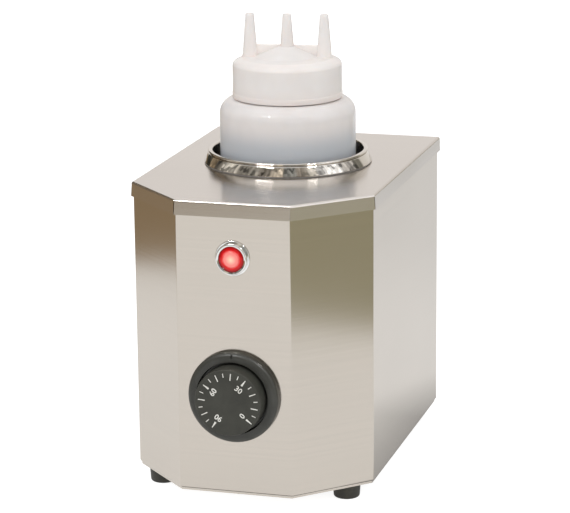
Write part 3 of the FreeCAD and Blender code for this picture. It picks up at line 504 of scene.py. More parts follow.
@dataclass(frozen=True)
class TintedLens(Finish):
    """Moulded red polycarbonate over a lamp: deep red at its rim and paler over the bulb."""

    middle: str = "#e8807a"
    centre: tuple[float, float, float] = (0.0, 0.0, 0.0)
    radius: float = 7.9
    core: float = 0.62
    bulb: str = "#ffd2b4"

    def dress(self, tree: Tree, shader: Node) -> None:
        """Rings of red about the lens's axis, faintly lit from within.

        Args:
            tree: Node tree of the material.
            shader: Shader that gets this finish.
        """
        shader.inputs["IOR"].default_value = 1.58
        shader.inputs["Specular IOR Level"].default_value = 0.2
        shader.inputs["Coat Weight"].default_value = 0.25
        shader.inputs["Coat Roughness"].default_value = 0.05
        axis = self.place(tree, (1, 0, 1), self.centre)
        far = add_node(tree, "ShaderNodeVectorMath", {0: axis}, operation="LENGTH")
        share = add_node(tree, "ShaderNodeMath", {0: far.outputs["Value"], 1: self.radius * MM},
                         operation="DIVIDE")
        mist = add_node(tree, "ShaderNodeTexNoise",
                        {"Vector": self.place(tree), "Scale": per_metre(2.5), "Detail": 2.0})
        shaken = add_node(tree, "ShaderNodeMath", {0: mist.outputs[0], 1: 0.12, 2: share.outputs[0]},
                          operation="MULTIPLY_ADD")
        core = self.core
        ramp = add_node(tree, "ShaderNodeValToRGB", {0: shaken.outputs[0]},
                        stops=((0.0, linear(self.bulb)), (core * 0.8, linear(self.middle)),
                               (core * 0.95, linear(self.middle)), (core + 0.16, linear(self.colour)),
                               (0.99, linear(self.shade))))
        tree.links.new(ramp.outputs[0], shader.inputs["Base Color"])
        tree.links.new(ramp.outputs[0], shader.inputs["Emission Color"])
        shader.inputs["Emission Strength"].default_value = 0.3
        self.uneven(tree, shader, mist.outputs[0])


class Palette:
    """Every finish of the warmer, named for what the real one is."""

    # 304 stainless sheet, satin ground along its length: broad soft reflections with faint level lines
    sheet = StainlessSteel("satin_stainless_sheet", "#d2cac0", "#c9c2b9", 0.155, 0.025)
    # The same sheet where the case stands on its base: a raw edge, with painted shade in the joint
    case = StainlessSteel("satin_stainless_case", "#d2cac0", "#c9c2b9", 0.155, 0.025, joint=JOINT_HEIGHT)
    # The same sheet on the lid, polished and then dulled by wiping: softer reflections than the case
    lid = StainlessSteel("polished_stainless_lid", "#d8d2cd", "#cfc9c4", 0.2, 0.03)
    # Spun stainless: bright, with fine turning rings
    spun = StainlessSteel("spun_stainless_collar", "#dfdbd5", "#d2cdc6", 0.06, 0.03, Grain.ROUND,
                          line=0.9, depth=0.002, centre=WELL_AXIS)
    # Deep-drawn stainless pot: drawing rings, dulled by hot water and topping
    drawn = StainlessSteel("drawn_stainless_pot", "#c9c4bd", "#a8a29a", 0.2, 0.07, Grain.ROUND,
                           line=1.6, depth=0.008, centre=WELL_AXIS)
    # Steel with bright zinc plating: bluish grey and slightly cloudy
    zinc = PlatedMetal("zinc_plated_steel", "#b9bdc0", "#94999d", 0.36, 0.08)
    # Nickel-plated screw steel: warm and bright
    screw = PlatedMetal("nickel_plated_screw", "#c8c4bc", "#a09b92", 0.28, 0.07, mottle=1.2)
    # Turned free-cutting steel shaft: grey with an oil film
    shaft = PlatedMetal("turned_steel_shaft", "#a9a9a7", "#86868a", 0.3, 0.06, mottle=0.8)
    # Oxidised steel sheath over mica: straw and blue heat tints
    sheath = PlatedMetal("heat_tinted_sheath", "#a8987e", "#6f6f78", 0.42, 0.1, mottle=7.0)
    # Drawn copper tube: salmon with brown tarnish
    copper = PlatedMetal("drawn_copper", "#c98a6b", "#8f5a41", 0.32, 0.09, mottle=3.5)
    # Machined brass: yellow with duller patches
    brass = PlatedMetal("machined_brass", "#cfae63", "#a58443", 0.3, 0.08, mottle=2.5)
    # Chrome plate over brass: mirror-bright and neutral
    chrome = PlatedMetal("chrome_plate", "#eeeeec", "#e2e3e3", 0.11, 0.03, mottle=3.0, depth=0.002)
    # ABS dial ring, dark grey with a warm cast, satin
    dial = MouldedPlastic("satin_grey_abs", "#3f3f3a", "#363631", 0.36, 0.06)
    # ABS knob of the same batch with a finer skin
    knob = MouldedPlastic("fine_grey_abs", "#45453f", "#3d3d38", 0.44, 0.05,
                          texture=0.35, depth=0.015, gloss=0.25)
    # Phenolic moulding: near-black brown and glossy
    phenolic = MouldedPlastic("black_phenolic", "#2a211c", "#1c1614", 0.28, 0.06, texture=0.8)
    # Nylon gland: black and satin
    nylon = MouldedPlastic("black_nylon", "#26272a", "#1b1c1f", 0.42, 0.07, texture=0.6, depth=0.03)
    # Lamp body: glossy grey polycarbonate
    lamp_body = MouldedPlastic("grey_polycarbonate", "#8d8f90", "#7c7e80", 0.25, 0.05, texture=0.9)
    # Glazed steatite terminal block: cream and glossy
    steatite = MouldedPlastic("glazed_steatite", "#e6dfcf", "#d3cab6", 0.22, 0.06,
                              texture=1.4, depth=0.03, coat=0.4, index=1.55)
    # Natural LDPE bottle, blow-moulded: milky with a pink cast, and painted shade low down where the dark
    # well shows through
    bottle = Polyethylene("blown_natural_ldpe", "#f3e9e5", "#ece2de", 0.5,
                          tint="#c2c5ca", tint_low=0.202, tint_high=0.219)
    # LDPE cap, injection-moulded: thicker and whiter, with painted shade on its lower skirt
    cap = Polyethylene("moulded_natural_ldpe", "#f3ebe7", "#ede4e0", 0.5,
                       tint="#ebe0db", tint_low=0.229, tint_high=0.24,
                       rings=1.8, ring_depth=0.01, ripple=14.0, ripple_depth=0.05)
    # Black nitrile feet: dull, with an olive cast of dust
    rubber = Rubber("black_nitrile", "#2b2a24", "#3d3b31", 0.62, 0.08)
    # Grey silicone gasket and gland seal
    silicone = Rubber("grey_silicone", "#7d7a76", "#6d6a66", 0.5, 0.07)
    # Closed-cell foam liner
    foam = FibreMat("foam_liner", "#f1efe9", "#d8d5cc", 0.8, 0.08, fibre=0.5, depth=0.08)
    # Needled glass wool: cream with darker gaps
    wool = FibreMat("needled_glass_wool", "#c9bf9e", "#f2ecd8", 0.9, 0.05,
                    fibre=1.6, stretch=(1, 1, 3.5), depth=0.8)
    # Pressed calcium silicate board
    board = FibreMat("silicate_board", "#b8b2a6", "#dad5cb", 0.88, 0.06,
                     fibre=0.7, stretch=(1, 1, 2), depth=0.12)
    # White pad-printing ink: flat and slightly chalky
    ink = MouldedPlastic("white_pad_ink", "#efeee8", "#dedcd4", 0.55, 0.06, texture=0.5, depth=0.01)


@dataclass(frozen=True)
class Corner:
    """Corner of a turned outline: how far from the axis, how high and how rounded, in mm."""

    reach: float
    height: float
    rounding: float = 0.0
    steps: int = 5


def soften(mesh: bpy.types.Mesh, sharp: float) -> None:
    """Smooth a mesh but keep every edge crisp that turns by more than an angle in degrees.

    Args:
        mesh: Mesh of a finished piece.
        sharp: Angle in degrees over which an edge stays crisp.
    """
    for face in mesh.polygons:
        face.use_smooth = True
    mesh.set_sharp_from_angle(angle=math.radians(sharp))


def worked(piece: Piece) -> bpy.types.Mesh:
    """Return a new mesh of a piece as its letters or modifiers make it."""
    return bpy.data.meshes.new_from_object(piece.evaluated_get(bpy.context.evaluated_depsgraph_get()))


def shown(name: str, shape: Shape, finish: Finish, sharp: float = 32.0) -> Piece:
    """Turn a finished shape into an object with its material.

    Args:
        name: Name of the piece.
        shape: Shape in the model's own frame, freed here.
        finish: Finish of the piece.
        sharp: Angle in degrees over which an edge stays crisp.

    Returns:
        The new object, at the origin.
    """
    mesh = bpy.data.meshes.new(name)
    shape.to_mesh(mesh)
    shape.free()
    soften(mesh, sharp)
    mesh.materials.append(finish.material())
    piece = bpy.data.objects.new(name, mesh)
    bpy.context.scene.collection.objects.link(piece)
    return piece


def turned(corners: Sequence[Corner], around: int = 128, ring: bool = False) -> Shape:
    """Turn an outline about Z.

    Args:
        corners: Corners of the outline, from the axis and back to it, or once round a ring.
        around: Steps in the full turn.
        ring: True where the outline closes on itself and never meets the axis.

    Returns:
        A closed shape with its faces outwards, in metres.
    """
    shape = bmesh.new()
    points = [shape.verts.new((c.reach * MM, 0, c.height * MM)) for c in corners]
    following = points[1:] + (points[:1] if ring else [])
    for pair in zip(points, following):
        shape.edges.new(pair)
    for corner, point in zip(corners, points):
        if corner.rounding:
            arms = [edge.other_vert(point).co - point.co for edge in point.link_edges]
            turn = math.pi - arms[0].angle(arms[1])
            bmesh.ops.bevel(shape, geom=[point], offset=corner.rounding * MM * math.tan(turn / 2),
                            offset_type="OFFSET", segments=corner.steps, profile=0.5,
                            affect="VERTICES", material=-1)
    bmesh.ops.spin(shape, geom=shape.verts[:] + shape.edges[:], cent=(0, 0, 0), axis=(0, 0, 1),
                   dvec=(0, 0, 0), angle=math.tau, steps=around, use_merge=True)
    bmesh.ops.remove_doubles(shape, verts=shape.verts[:], dist=1e-7)
    bmesh.ops.recalc_face_normals(shape, faces=shape.faces[:])
    return shape


def put(shape: Shape, place: Matrix) -> Shape:
    """Move and turn a whole shape, then hand it back."""
    bmesh.ops.transform(shape, matrix=place, verts=shape.verts[:])
    return shape


def gather(shapes: Sequence[Shape]) -> Shape:
    """Put several shapes into one and free them.

    Args:
        shapes: Shapes in one and the same frame.

    Returns:
        One shape with all of their faces.
    """
    whole = bmesh.new()
    for shape in shapes:
        passing = bpy.data.meshes.new("passing")
        shape.to_mesh(passing)
        shape.free()
        whole.from_mesh(passing)
        bpy.data.meshes.remove(passing)
    return whole


def standing(node: str) -> Matrix:
    """Place with Z up, at the middle of a node's underside."""
    low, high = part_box(node)
    return Matrix.Translation(((low.x + high.x) / 2, (low.y + high.y) / 2, low.z))


def facing_front(node: str, seat: float) -> Matrix:
    """Place with Z towards the front, on the axis of a round node.

    Args:
        node: Node on the front panel.
        seat: Y in metres at which the place's Z starts.

    Returns:
        The matrix of that place.
    """
    low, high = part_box(node)
    middle = Vector(((low.x + high.x) / 2, seat, (low.z + high.z) / 2))
    return Matrix.Translation(middle) @ Matrix.Rotation(math.pi / 2, 4, "X")


def settle(piece: Piece, body: Body, slot: str, *nodes: str) -> Piece:
    """Let a piece ride on a body and stand for CAD nodes, which it hides.

    Args:
        piece: The finished piece.
        body: Body that carries it.
        slot: Material slot of the record; not used.
        *nodes: CAD nodes that the piece replaces.

    Returns:
        The same piece.
    """
    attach(piece, body.value)
    if nodes:
        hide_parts(*nodes)
    log.info("%s: %d faces, rides on %s", piece.name, len(piece.data.polygons), body.value)
    return piece


def dress(finish: Finish, *nodes: str) -> None:
    """Give CAD nodes a finish.

    Args:
        finish: Finish for all of them.
        *nodes: Names of the nodes.
    """
    for node in nodes:
        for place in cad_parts[node].material_slots:
            place.material = finish.material()
        log.info("%s: dressed as %s", node, finish.name)


@dataclass
class Housing:
    """Folded stainless case with its base plate, rear panel, lid and feet."""

    foot_top: float = 8.5
    foot_bottom: float = 7.9
    foot_height: float = 8.4
    foot_edge: float = 1.4
    foot_recess: float = 4.8
    foot_web: float = 3.6
    foot_bore: float = 2.3
    feet: tuple[str, ...] = ("foot_front_left", "foot_front_right", "foot_rear_left", "foot_rear_right")

    def build(self) -> None:
        """Dress the sheet parts and mould the feet."""
        dress(Palette.case, "casing_wrap")
        dress(Palette.sheet, "rear_panel", "base_plate")
        dress(Palette.lid, "top_cover")
        for node in self.feet:
            settle(self.foot(node), Body.HOUSING, "foot_rubber", node)

    def foot(self, node: str) -> Piece:
        """Tapered foot with a rounded tread, a moulded ridge and a screw recess.

        Args:
            node: CAD node of the foot.

        Returns:
            The foot, under the corner where its node stands.
        """
        ledge = self.foot_height - self.foot_web
        outline = [Corner(self.foot_bore, self.foot_height),
                   Corner(self.foot_top, self.foot_height, 0.5),
                   Corner(self.foot_bottom, 0, self.foot_edge, 6), Corner(self.foot_recess + 0.6, 0, 0.4),
                   Corner(self.foot_recess, 0.9, 0.3), Corner(self.foot_recess, ledge, 0.3),
                   Corner(self.foot_bore, ledge)]
        shape = put(turned(outline, 64, ring=True), standing(node))
        return shown(f"{node}_rubber", shape, Palette.rubber)


@dataclass
class CrossScrew:
    """Pan head screw with a cross recess."""

    shank: float
    head: float
    crown: float
    length: float
    recess: float = 0.55
    slot_share: float = 0.16

    def shape(self) -> Shape:
        """Head up along Z, its seat at zero.

        Returns:
            The whole screw with its recess.
        """
        outline = [Corner(0, self.crown), Corner(self.head, self.crown, self.crown * 0.62, 6),
                   Corner(self.head, 0, 0.1, 2), Corner(self.shank, 0),
                   Corner(self.shank, -self.length, 0.4, 2),
                   Corner(0, -self.length - 0.4)]
        shape = turned(outline, 32)
        self.cut_cross(shape)
        return shape

    def cut_cross(self, shape: Shape) -> None:
        """Sink a cross into the crown.

        Args:
            shape: Screw, head up.
        """
        narrow = self.head * self.slot_share * MM
        wide = self.head * self.recess * MM
        for axis in (Vector((1, 0, 0)), Vector((0, 1, 0))):
            for reach in (-wide, -narrow, narrow, wide):
                bmesh.ops.bisect_plane(shape, geom=shape.verts[:] + shape.edges[:] + shape.faces[:],
                                       dist=1e-7, plane_co=axis * reach, plane_no=axis)
        high = self.crown * 0.5 * MM
        crossed = []
        for face in shape.faces:
            centre = face.calc_center_median()
            across = sorted((abs(centre.x), abs(centre.y)))
            if centre.z > high and face.normal.z > 0.5 and across[0] < narrow and across[1] < wide:
                crossed.append(face)
        sunk = bmesh.ops.extrude_face_region(shape, geom=crossed)
        moved = [item for item in sunk["geom"] if isinstance(item, bmesh.types.BMVert)]
        bmesh.ops.delete(shape, geom=crossed, context="FACES_ONLY")
        bmesh.ops.translate(shape, verts=moved, vec=(0, 0, -self.crown * 0.55 * MM))
        bmesh.ops.scale(shape, verts=moved, vec=(0.8, 0.8, 1))
        bmesh.ops.recalc_face_normals(shape, faces=shape.faces[:])


@dataclass
class Fastenings:
    """The visible screws, each with its cross turned its own way."""

    sheet: CrossScrew = field(default_factory=lambda: CrossScrew(1.75, 3.4, 2.1, 8.0))
    base: CrossScrew = field(default_factory=lambda: CrossScrew(1.75, 3.4, 1.3, 8.0))
    foot: CrossScrew = field(default_factory=lambda: CrossScrew(2.0, 4.0, 2.6, 11.5))
    cluster: float = 9.0
    first_turn: float = 23.0
    next_turn: float = 47.0

    def build(self) -> None:
        """Make the screws of the rear panel, the lid, the base plate and the feet."""
        behind = Matrix.Rotation(-math.pi / 2, 4, "X")
        below = Matrix.Rotation(math.pi, 4, "X")
        for node, screw, turn, seat in (
                ("rear_panel_screws", self.sheet, behind, "y"), ("cover_screws", self.sheet, behind, "y"),
                ("base_screws", self.base, below, "z"), ("foot_screws", self.foot, below, "z")):
            shapes = [put(screw.shape(), place) for place in self.places(node, screw, turn, seat)]
            piece = shown(f"{node}_crossed", gather(shapes), Palette.screw)
            settle(piece, Body.HOUSING, "screw_steel", node)

    @staticmethod
    def aside(first: Vector, other: Vector, seat: str) -> float:
        """Distance between two points as it shows along the screw's own axis.

        Args:
            first: Point of one screw.
            other: Point that may be of the same screw.
            seat: Axis that the screws lie along, "y" or "z".

        Returns:
            The distance in metres.
        """
        offset = other - first
        setattr(offset, seat, 0.0)
        return offset.length

    def places(self, node: str, screw: CrossScrew, turn: Matrix, seat: str) -> list[Matrix]:
        """Find each screw of a node from its own points.

        Args:
            node: CAD node with one or more screws.
            screw: Sizes of one screw.
            turn: Turn that brings the head the right way.
            seat: Axis that the screw lies along, "y" or "z".

        Returns:
            One place for each screw.
        """
        clusters: list[list[Vector]] = []
        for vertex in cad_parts[node].data.vertices:
            point = vertex.co.copy()
            near = [c for c in clusters if self.aside(c[0], point, seat) < self.cluster * MM]
            if near:
                near[0].append(point)
            else:
                clusters.append([point])
        found = []
        for number, cluster in enumerate(clusters):
            low = Vector([min(p[k] for p in cluster) for k in range(3)])
            high = Vector([max(p[k] for p in cluster) for k in range(3)])
            middle = (low + high) / 2
            if seat == "y":
                middle.y = low.y + screw.length * MM
            else:
                middle.z = high.z - screw.length * MM
            spin = Matrix.Rotation(math.radians(self.first_turn + self.next_turn * number), 4, "Z")
            found.append(Matrix.Translation(middle) @ turn @ spin)
        return found


@dataclass
class Well:
    """Deep-drawn pot that hangs in the lid by its rolled rim, on a spun conical collar."""

    inner: float = 47.2
    sheet: float = 0.8
    corner: float = 8.0
    rim: float = 2.8
    curl: float = 0.9
    # Height of the lip's painted highlight, as a number of curls of the rim
    bright_lip: float = 2.2
    stud: float = 3.0
    stud_length: float = 15.0
    depth: float = 160.8
    foot: float = 52.7
    lip: float = 1.8
    wall: float = 1.3
    neck: float = 1.3
    fit: float = 0.1

    def build(self) -> None:
        """Turn the pot and its collar and dress the gasket."""
        settle(self.pot(), Body.HOUSING, "pot_steel", "well_pot")
        settle(self.collar(), Body.HOUSING, "collar_steel", "well_collar")
        dress(Palette.silicone, "collar_gasket")

    def pot(self) -> Piece:
        """Pot with its rolled rim and the stud under its floor.

        Returns:
            The pot, its lip as bright as the collar.
        """
        outer = self.inner + self.sheet
        under = self.stud_length
        top = under + self.depth
        edge = self.inner + self.rim
        round_off = self.curl - 0.02
        outline = [Corner(0, 0), Corner(self.stud, 0, 0.5, 2), Corner(self.stud, under),
                   Corner(outer, under, self.corner, 10), Corner(outer, top - self.curl * 2, 0.3, 3),
                   Corner(edge, top - self.curl * 2, round_off, 7), Corner(edge, top, round_off, 7),
                   Corner(self.inner, top, round_off, 7),
                   Corner(self.inner, under + self.sheet, self.corner - self.sheet, 10),
                   Corner(0, under + self.sheet)]
        piece = shown("well_pot_drawn", put(turned(outline, 160), standing("well_pot")), Palette.drawn)
        # Painted highlight: the rolled lip's faces take the collar's brighter, glossier steel
        piece.data.materials.append(Palette.spun.material())
        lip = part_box("well_pot")[1].z - self.curl * self.bright_lip * MM
        for face in piece.data.polygons:
            face.material_index = int(face.center.z > lip)
        return piece

    def collar(self) -> Piece:
        """Conical collar with a softly rolled foot.

        Returns:
            The collar round the hole in the lid.
        """
        low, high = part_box("well_collar")
        top = (high.z - low.z) / MM
        inner = self.inner + self.sheet + self.fit
        outline = [Corner(inner, top, 0.15, 2), Corner(inner + self.lip, top, 0.7, 4),
                   Corner(self.foot, 0, 0.35, 4), Corner(self.foot - self.wall, 0, 0.1, 2),
                   Corner(inner, top - self.neck)]
        shape = put(turned(outline, 160, ring=True), standing("well_collar"))
        return shown("well_collar_spun", shape, Palette.spun)


@dataclass
class Dial:
    """Thermostat dial: a dished ring on the panel and a printed drum that turns in it."""

    radius: float = 20.25
    flare: float = 0.4
    edge: float = 0.55
    reach: float = 15.1
    low: float = 2.5
    face: float = 2.2
    wall: float = 1.8
    boss: float = 5.4
    bore: float = 3.05
    ink: float = 0.04
    step: float = 15.33
    first: float = -38.7
    outer: float = 18.5
    inner_numbered: float = 14.3
    inner_ten: float = 14.3
    inner_five: float = 16.0
    numeral_reaches: tuple[float, ...] = (11.0, 11.0, 10.9, 11.0)
    numeral_size: float = 4.7
    numeral_weight: float = 0.08
    numbered_widths: tuple[float, float] = (0.42, 1.25)
    ten_widths: tuple[float, float] = (0.5, 0.62)
    five_widths: tuple[float, float] = (0.42, 0.5)
    print_shift: tuple[float, float] = (0.35, -0.25)

    def build(self) -> None:
        """Mould the drum and print its scale."""
        dress(Palette.dial, "dial_bezel")
        dress(Palette.shaft, "thermostat_shaft")
        settle(self.drum(), Body.KNOB, "knob_plastic", "dial_knob")
        settle(self.scale(), Body.KNOB, "knob_plastic")

    def seat(self) -> Matrix:
        """Place on the panel's face, on the dial's axis, with Z towards the front."""
        return facing_front("dial_knob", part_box("dial_bezel")[1].y)

    def drum(self) -> Piece:
        """Drum with a hollow back, a boss and a softened front edge.

        Returns:
            The drum, in its ring on the panel.
        """
        top = self.reach - self.ink
        under = self.reach - self.face
        base = self.radius + self.flare
        outline = [Corner(0, top), Corner(self.radius, top, self.edge, 5), Corner(base, self.low, 0.2, 2),
                   Corner(base - self.wall, self.low, 0.2, 2), Corner(self.radius - self.wall, under, 0.8, 3),
                   Corner(self.boss, under, 0.6, 2), Corner(self.boss, self.low, 0.2, 2),
                   Corner(self.bore, self.low, 0.3, 2), Corner(self.bore, under), Corner(0, under)]
        return shown("dial_drum", put(turned(outline, 144), self.seat()), Palette.knob)

    def scale(self) -> Piece:
        """Printed ticks and numerals.

        Returns:
            All of the print as one piece.
        """
        shapes = []
        for number in range(0, 95, 5):
            angle = math.radians(self.first + self.step * number / 5)
            if number % 30 == 0:
                shapes.append(self.numeral(str(number), angle, self.numeral_reaches[number // 30]))
                shapes.append(self.tick(angle, self.inner_numbered, *self.numbered_widths))
            elif number % 10 == 0:
                shapes.append(self.tick(angle, self.inner_ten, *self.ten_widths))
            else:
                shapes.append(self.tick(angle, self.inner_five, *self.five_widths))
        shift = Matrix.Translation((self.print_shift[0] * MM, self.print_shift[1] * MM, 0))
        return shown("dial_scale_print", put(gather(shapes), self.seat() @ shift), Palette.ink)

    def tick(self, angle: float, inner: float, thin: float, thick: float) -> Shape:
        """One mark of the scale.

        Args:
            angle: Direction of the mark, in radians.
            inner: Where it ends, nearer the axis, in mm.
            thin: Width at its outer end.
            thick: Width at its inner end.

        Returns:
            The mark as a thin slab.
        """
        slab = bmesh.new()
        bmesh.ops.create_cube(slab, size=1.0)
        length = self.outer - inner
        for width, ends in ((thin, [v for v in slab.verts if v.co.x > 0]),
                            (thick, [v for v in slab.verts if v.co.x < 0])):
            bmesh.ops.scale(slab, verts=ends, vec=(1, width, 1))
        bmesh.ops.scale(slab, verts=slab.verts[:], vec=(length * MM, MM, self.ink * MM))
        middle = (self.outer + inner) / 2
        place = Matrix.Translation((middle * MM, 0, (self.reach - self.ink / 2) * MM))
        return put(slab, Matrix.Rotation(angle, 4, "Z") @ place)

    def numeral(self, text: str, angle: float, reach: float) -> Shape:
        """A number of the scale, its top outwards.

        Args:
            text: The number.
            angle: Direction in which it stands, in radians.
            reach: How far its middle is from the axis, in mm.

        Returns:
            The number as a thin slab.
        """
        curve = bpy.data.curves.new(f"numeral_{text}", "FONT")
        curve.body = text
        curve.align_x = "CENTER"
        curve.align_y = "CENTER"
        curve.size = self.numeral_size * MM
        curve.offset = self.numeral_weight * MM
        curve.extrude = self.ink / 2 * MM
        curve.resolution_u = 6
        writing = bpy.data.objects.new(curve.name, curve)
        bpy.context.scene.collection.objects.link(writing)
        outline = worked(writing)
        bpy.data.objects.remove(writing)
        slab = bmesh.new()
        slab.from_mesh(outline)
        bpy.data.meshes.remove(outline)
        bmesh.ops.remove_doubles(slab, verts=slab.verts[:], dist=1e-7)
        place = Matrix.Translation((0, reach * MM, (self.reach - self.ink / 2) * MM))
        return put(slab, Matrix.Rotation(angle - math.pi / 2, 4, "Z") @ place)


@dataclass
class PilotLamp:
    """Chromed lamp with a red lens."""

    radius: float = 7.8
    seat: float = 1.4
    edge: float = 2.9
    dome: float = 1.3
    core: float = 0.62

    def build(self) -> None:
        """Dress the ring and mould the lens."""
        dress(Palette.chrome, "lamp_bezel")
        dress(Palette.lamp_body, "lamp_body")
        dress(Palette.zinc, "lamp_nut")
        settle(self.lens(), Body.HOUSING, "lens_red", "lamp_lens")

    def lens(self) -> Piece:
        """Lens with a raised middle inside a shallow ring.

        Returns:
            The lens in its ring.
        """
        low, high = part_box("lamp_lens")
        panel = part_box("lamp_bezel")[1].y
        inner = self.radius * self.core
        crown = self.edge + self.dome
        outline = [Corner(0, self.seat), Corner(self.radius, self.seat),
                   Corner(self.radius, self.edge, 0.3, 3),
                   Corner(inner + 0.9, self.edge + self.dome * 0.45, 0.6, 4),
                   Corner(inner + 0.2, crown - 0.85, 0.3, 3),
                   Corner(inner - 0.3, crown - 0.35, 0.5, 4), Corner(inner * 0.45, crown - 0.06, 2.0, 4),
                   Corner(0, crown)]
        centre = ((low.x + high.x) / 2, panel, (low.z + high.z) / 2)
        glass = TintedLens("red_polycarbonate", "#cc0d12", "#8a0408", 0.16,
                           centre=centre, radius=self.radius, core=self.core)
        return shown("lamp_jewel", put(turned(outline, 72), facing_front("lamp_lens", panel)), glass)


@dataclass
class SqueezeBottle:
    """Wide-mouth bottle with a pushed-up base and a single-start neck thread."""

    radius: float = 42.4
    wall: float = 1.4
    edge: float = 6.0
    push_up: float = 3.0
    shoulder_height: float = 192.0
    shoulder: float = 9.6
    neck: float = 30.0
    neck_wall: float = 2.0
    neck_height: float = 20.0
    thread_reach: float = 1.1
    thread_width: float = 2.4
    thread_pitch: float = 5.0
    thread_turns: float = 1.6
    thread_start: float = 3.6
    thread_root: float = 0.3

    def build(self) -> None:
        """Blow the bottle, thread its neck and dress the seal."""
        settle(self.shell(), Body.BOTTLE, "bottle_plastic", "squeeze_bottle")
        dress(Palette.foam, "cap_seal")

    def shell(self) -> Piece:
        """Hollow bottle with its thread.

        Returns:
            The bottle, standing in the well.
        """
        top = self.shoulder_height
        mouth = top + self.neck_height
        inner = self.radius - self.wall
        rest = self.radius - self.edge
        bore = self.neck - self.neck_wall
        outline = [Corner(0, self.push_up), Corner(rest * 0.6, self.push_up * 0.72, 30, 4),
                   Corner(rest - 1.5, 0, 3, 4),
                   Corner(self.radius, 0, self.edge, 8), Corner(self.radius, top, self.shoulder, 12),
                   Corner(self.neck, top, 1.2, 4), Corner(self.neck, mouth, 0.5, 3),
                   Corner(bore, mouth, 0.5, 3), Corner(bore, top - self.wall, 1.2, 4),
                   Corner(inner, top - self.wall, self.shoulder - self.wall, 10),
                   Corner(inner, self.wall, self.edge - self.wall, 6), Corner(rest - 1.5, self.wall, 3, 4),
                   Corner(rest * 0.6, self.push_up * 0.72 + self.wall, 30, 4),
                   Corner(0, self.push_up + self.wall)]
        shapes = [turned(outline, 160), self.thread(mouth)]
        return shown("bottle_shell", put(gather(shapes), standing("squeeze_bottle")), Palette.bottle)

    def thread(self, mouth: float) -> Shape:
        """Rounded ridge that winds down the neck from its mouth.

        Args:
            mouth: Height of the neck's mouth in mm.

        Returns:
            The ridge, its root sunk into the neck.
        """
        ridge = bmesh.new()
        half = self.thread_width / 2
        root = self.neck - self.thread_root
        crest = self.neck + self.thread_reach
        high = mouth - self.thread_start
        loop = [ridge.verts.new((r * MM, 0, (high + z) * MM))
                for r, z in ((root, half), (crest, half * 0.35), (crest, -half * 0.35), (root, -half))]
        edges = [ridge.edges.new((a, b)) for a, b in zip(loop, loop[1:] + loop[:1])]
        first = ridge.faces.new(loop)
        steps = round(96 * self.thread_turns)
        drop = self.thread_pitch * self.thread_turns / steps
        spun = bmesh.ops.spin(ridge, geom=loop + edges, cent=(0, 0, 0), axis=(0, 0, 1),
                              dvec=(0, 0, -drop * MM), angle=math.tau * self.thread_turns, steps=steps)
        last = [item for item in spun["geom_last"] if isinstance(item, bmesh.types.BMEdge)]
        bmesh.ops.contextual_create(ridge, geom=last)
        for end in (first.verts[:], [v for e in last for v in e.verts]):
            for vertex in dict.fromkeys(end):
                flat = Vector((vertex.co.x, vertex.co.y, 0))
                vertex.co -= flat.normalized() * max(0.0, flat.length - self.neck * MM)
        bmesh.ops.recalc_face_normals(ridge, faces=ridge.faces[:])
        return ridge


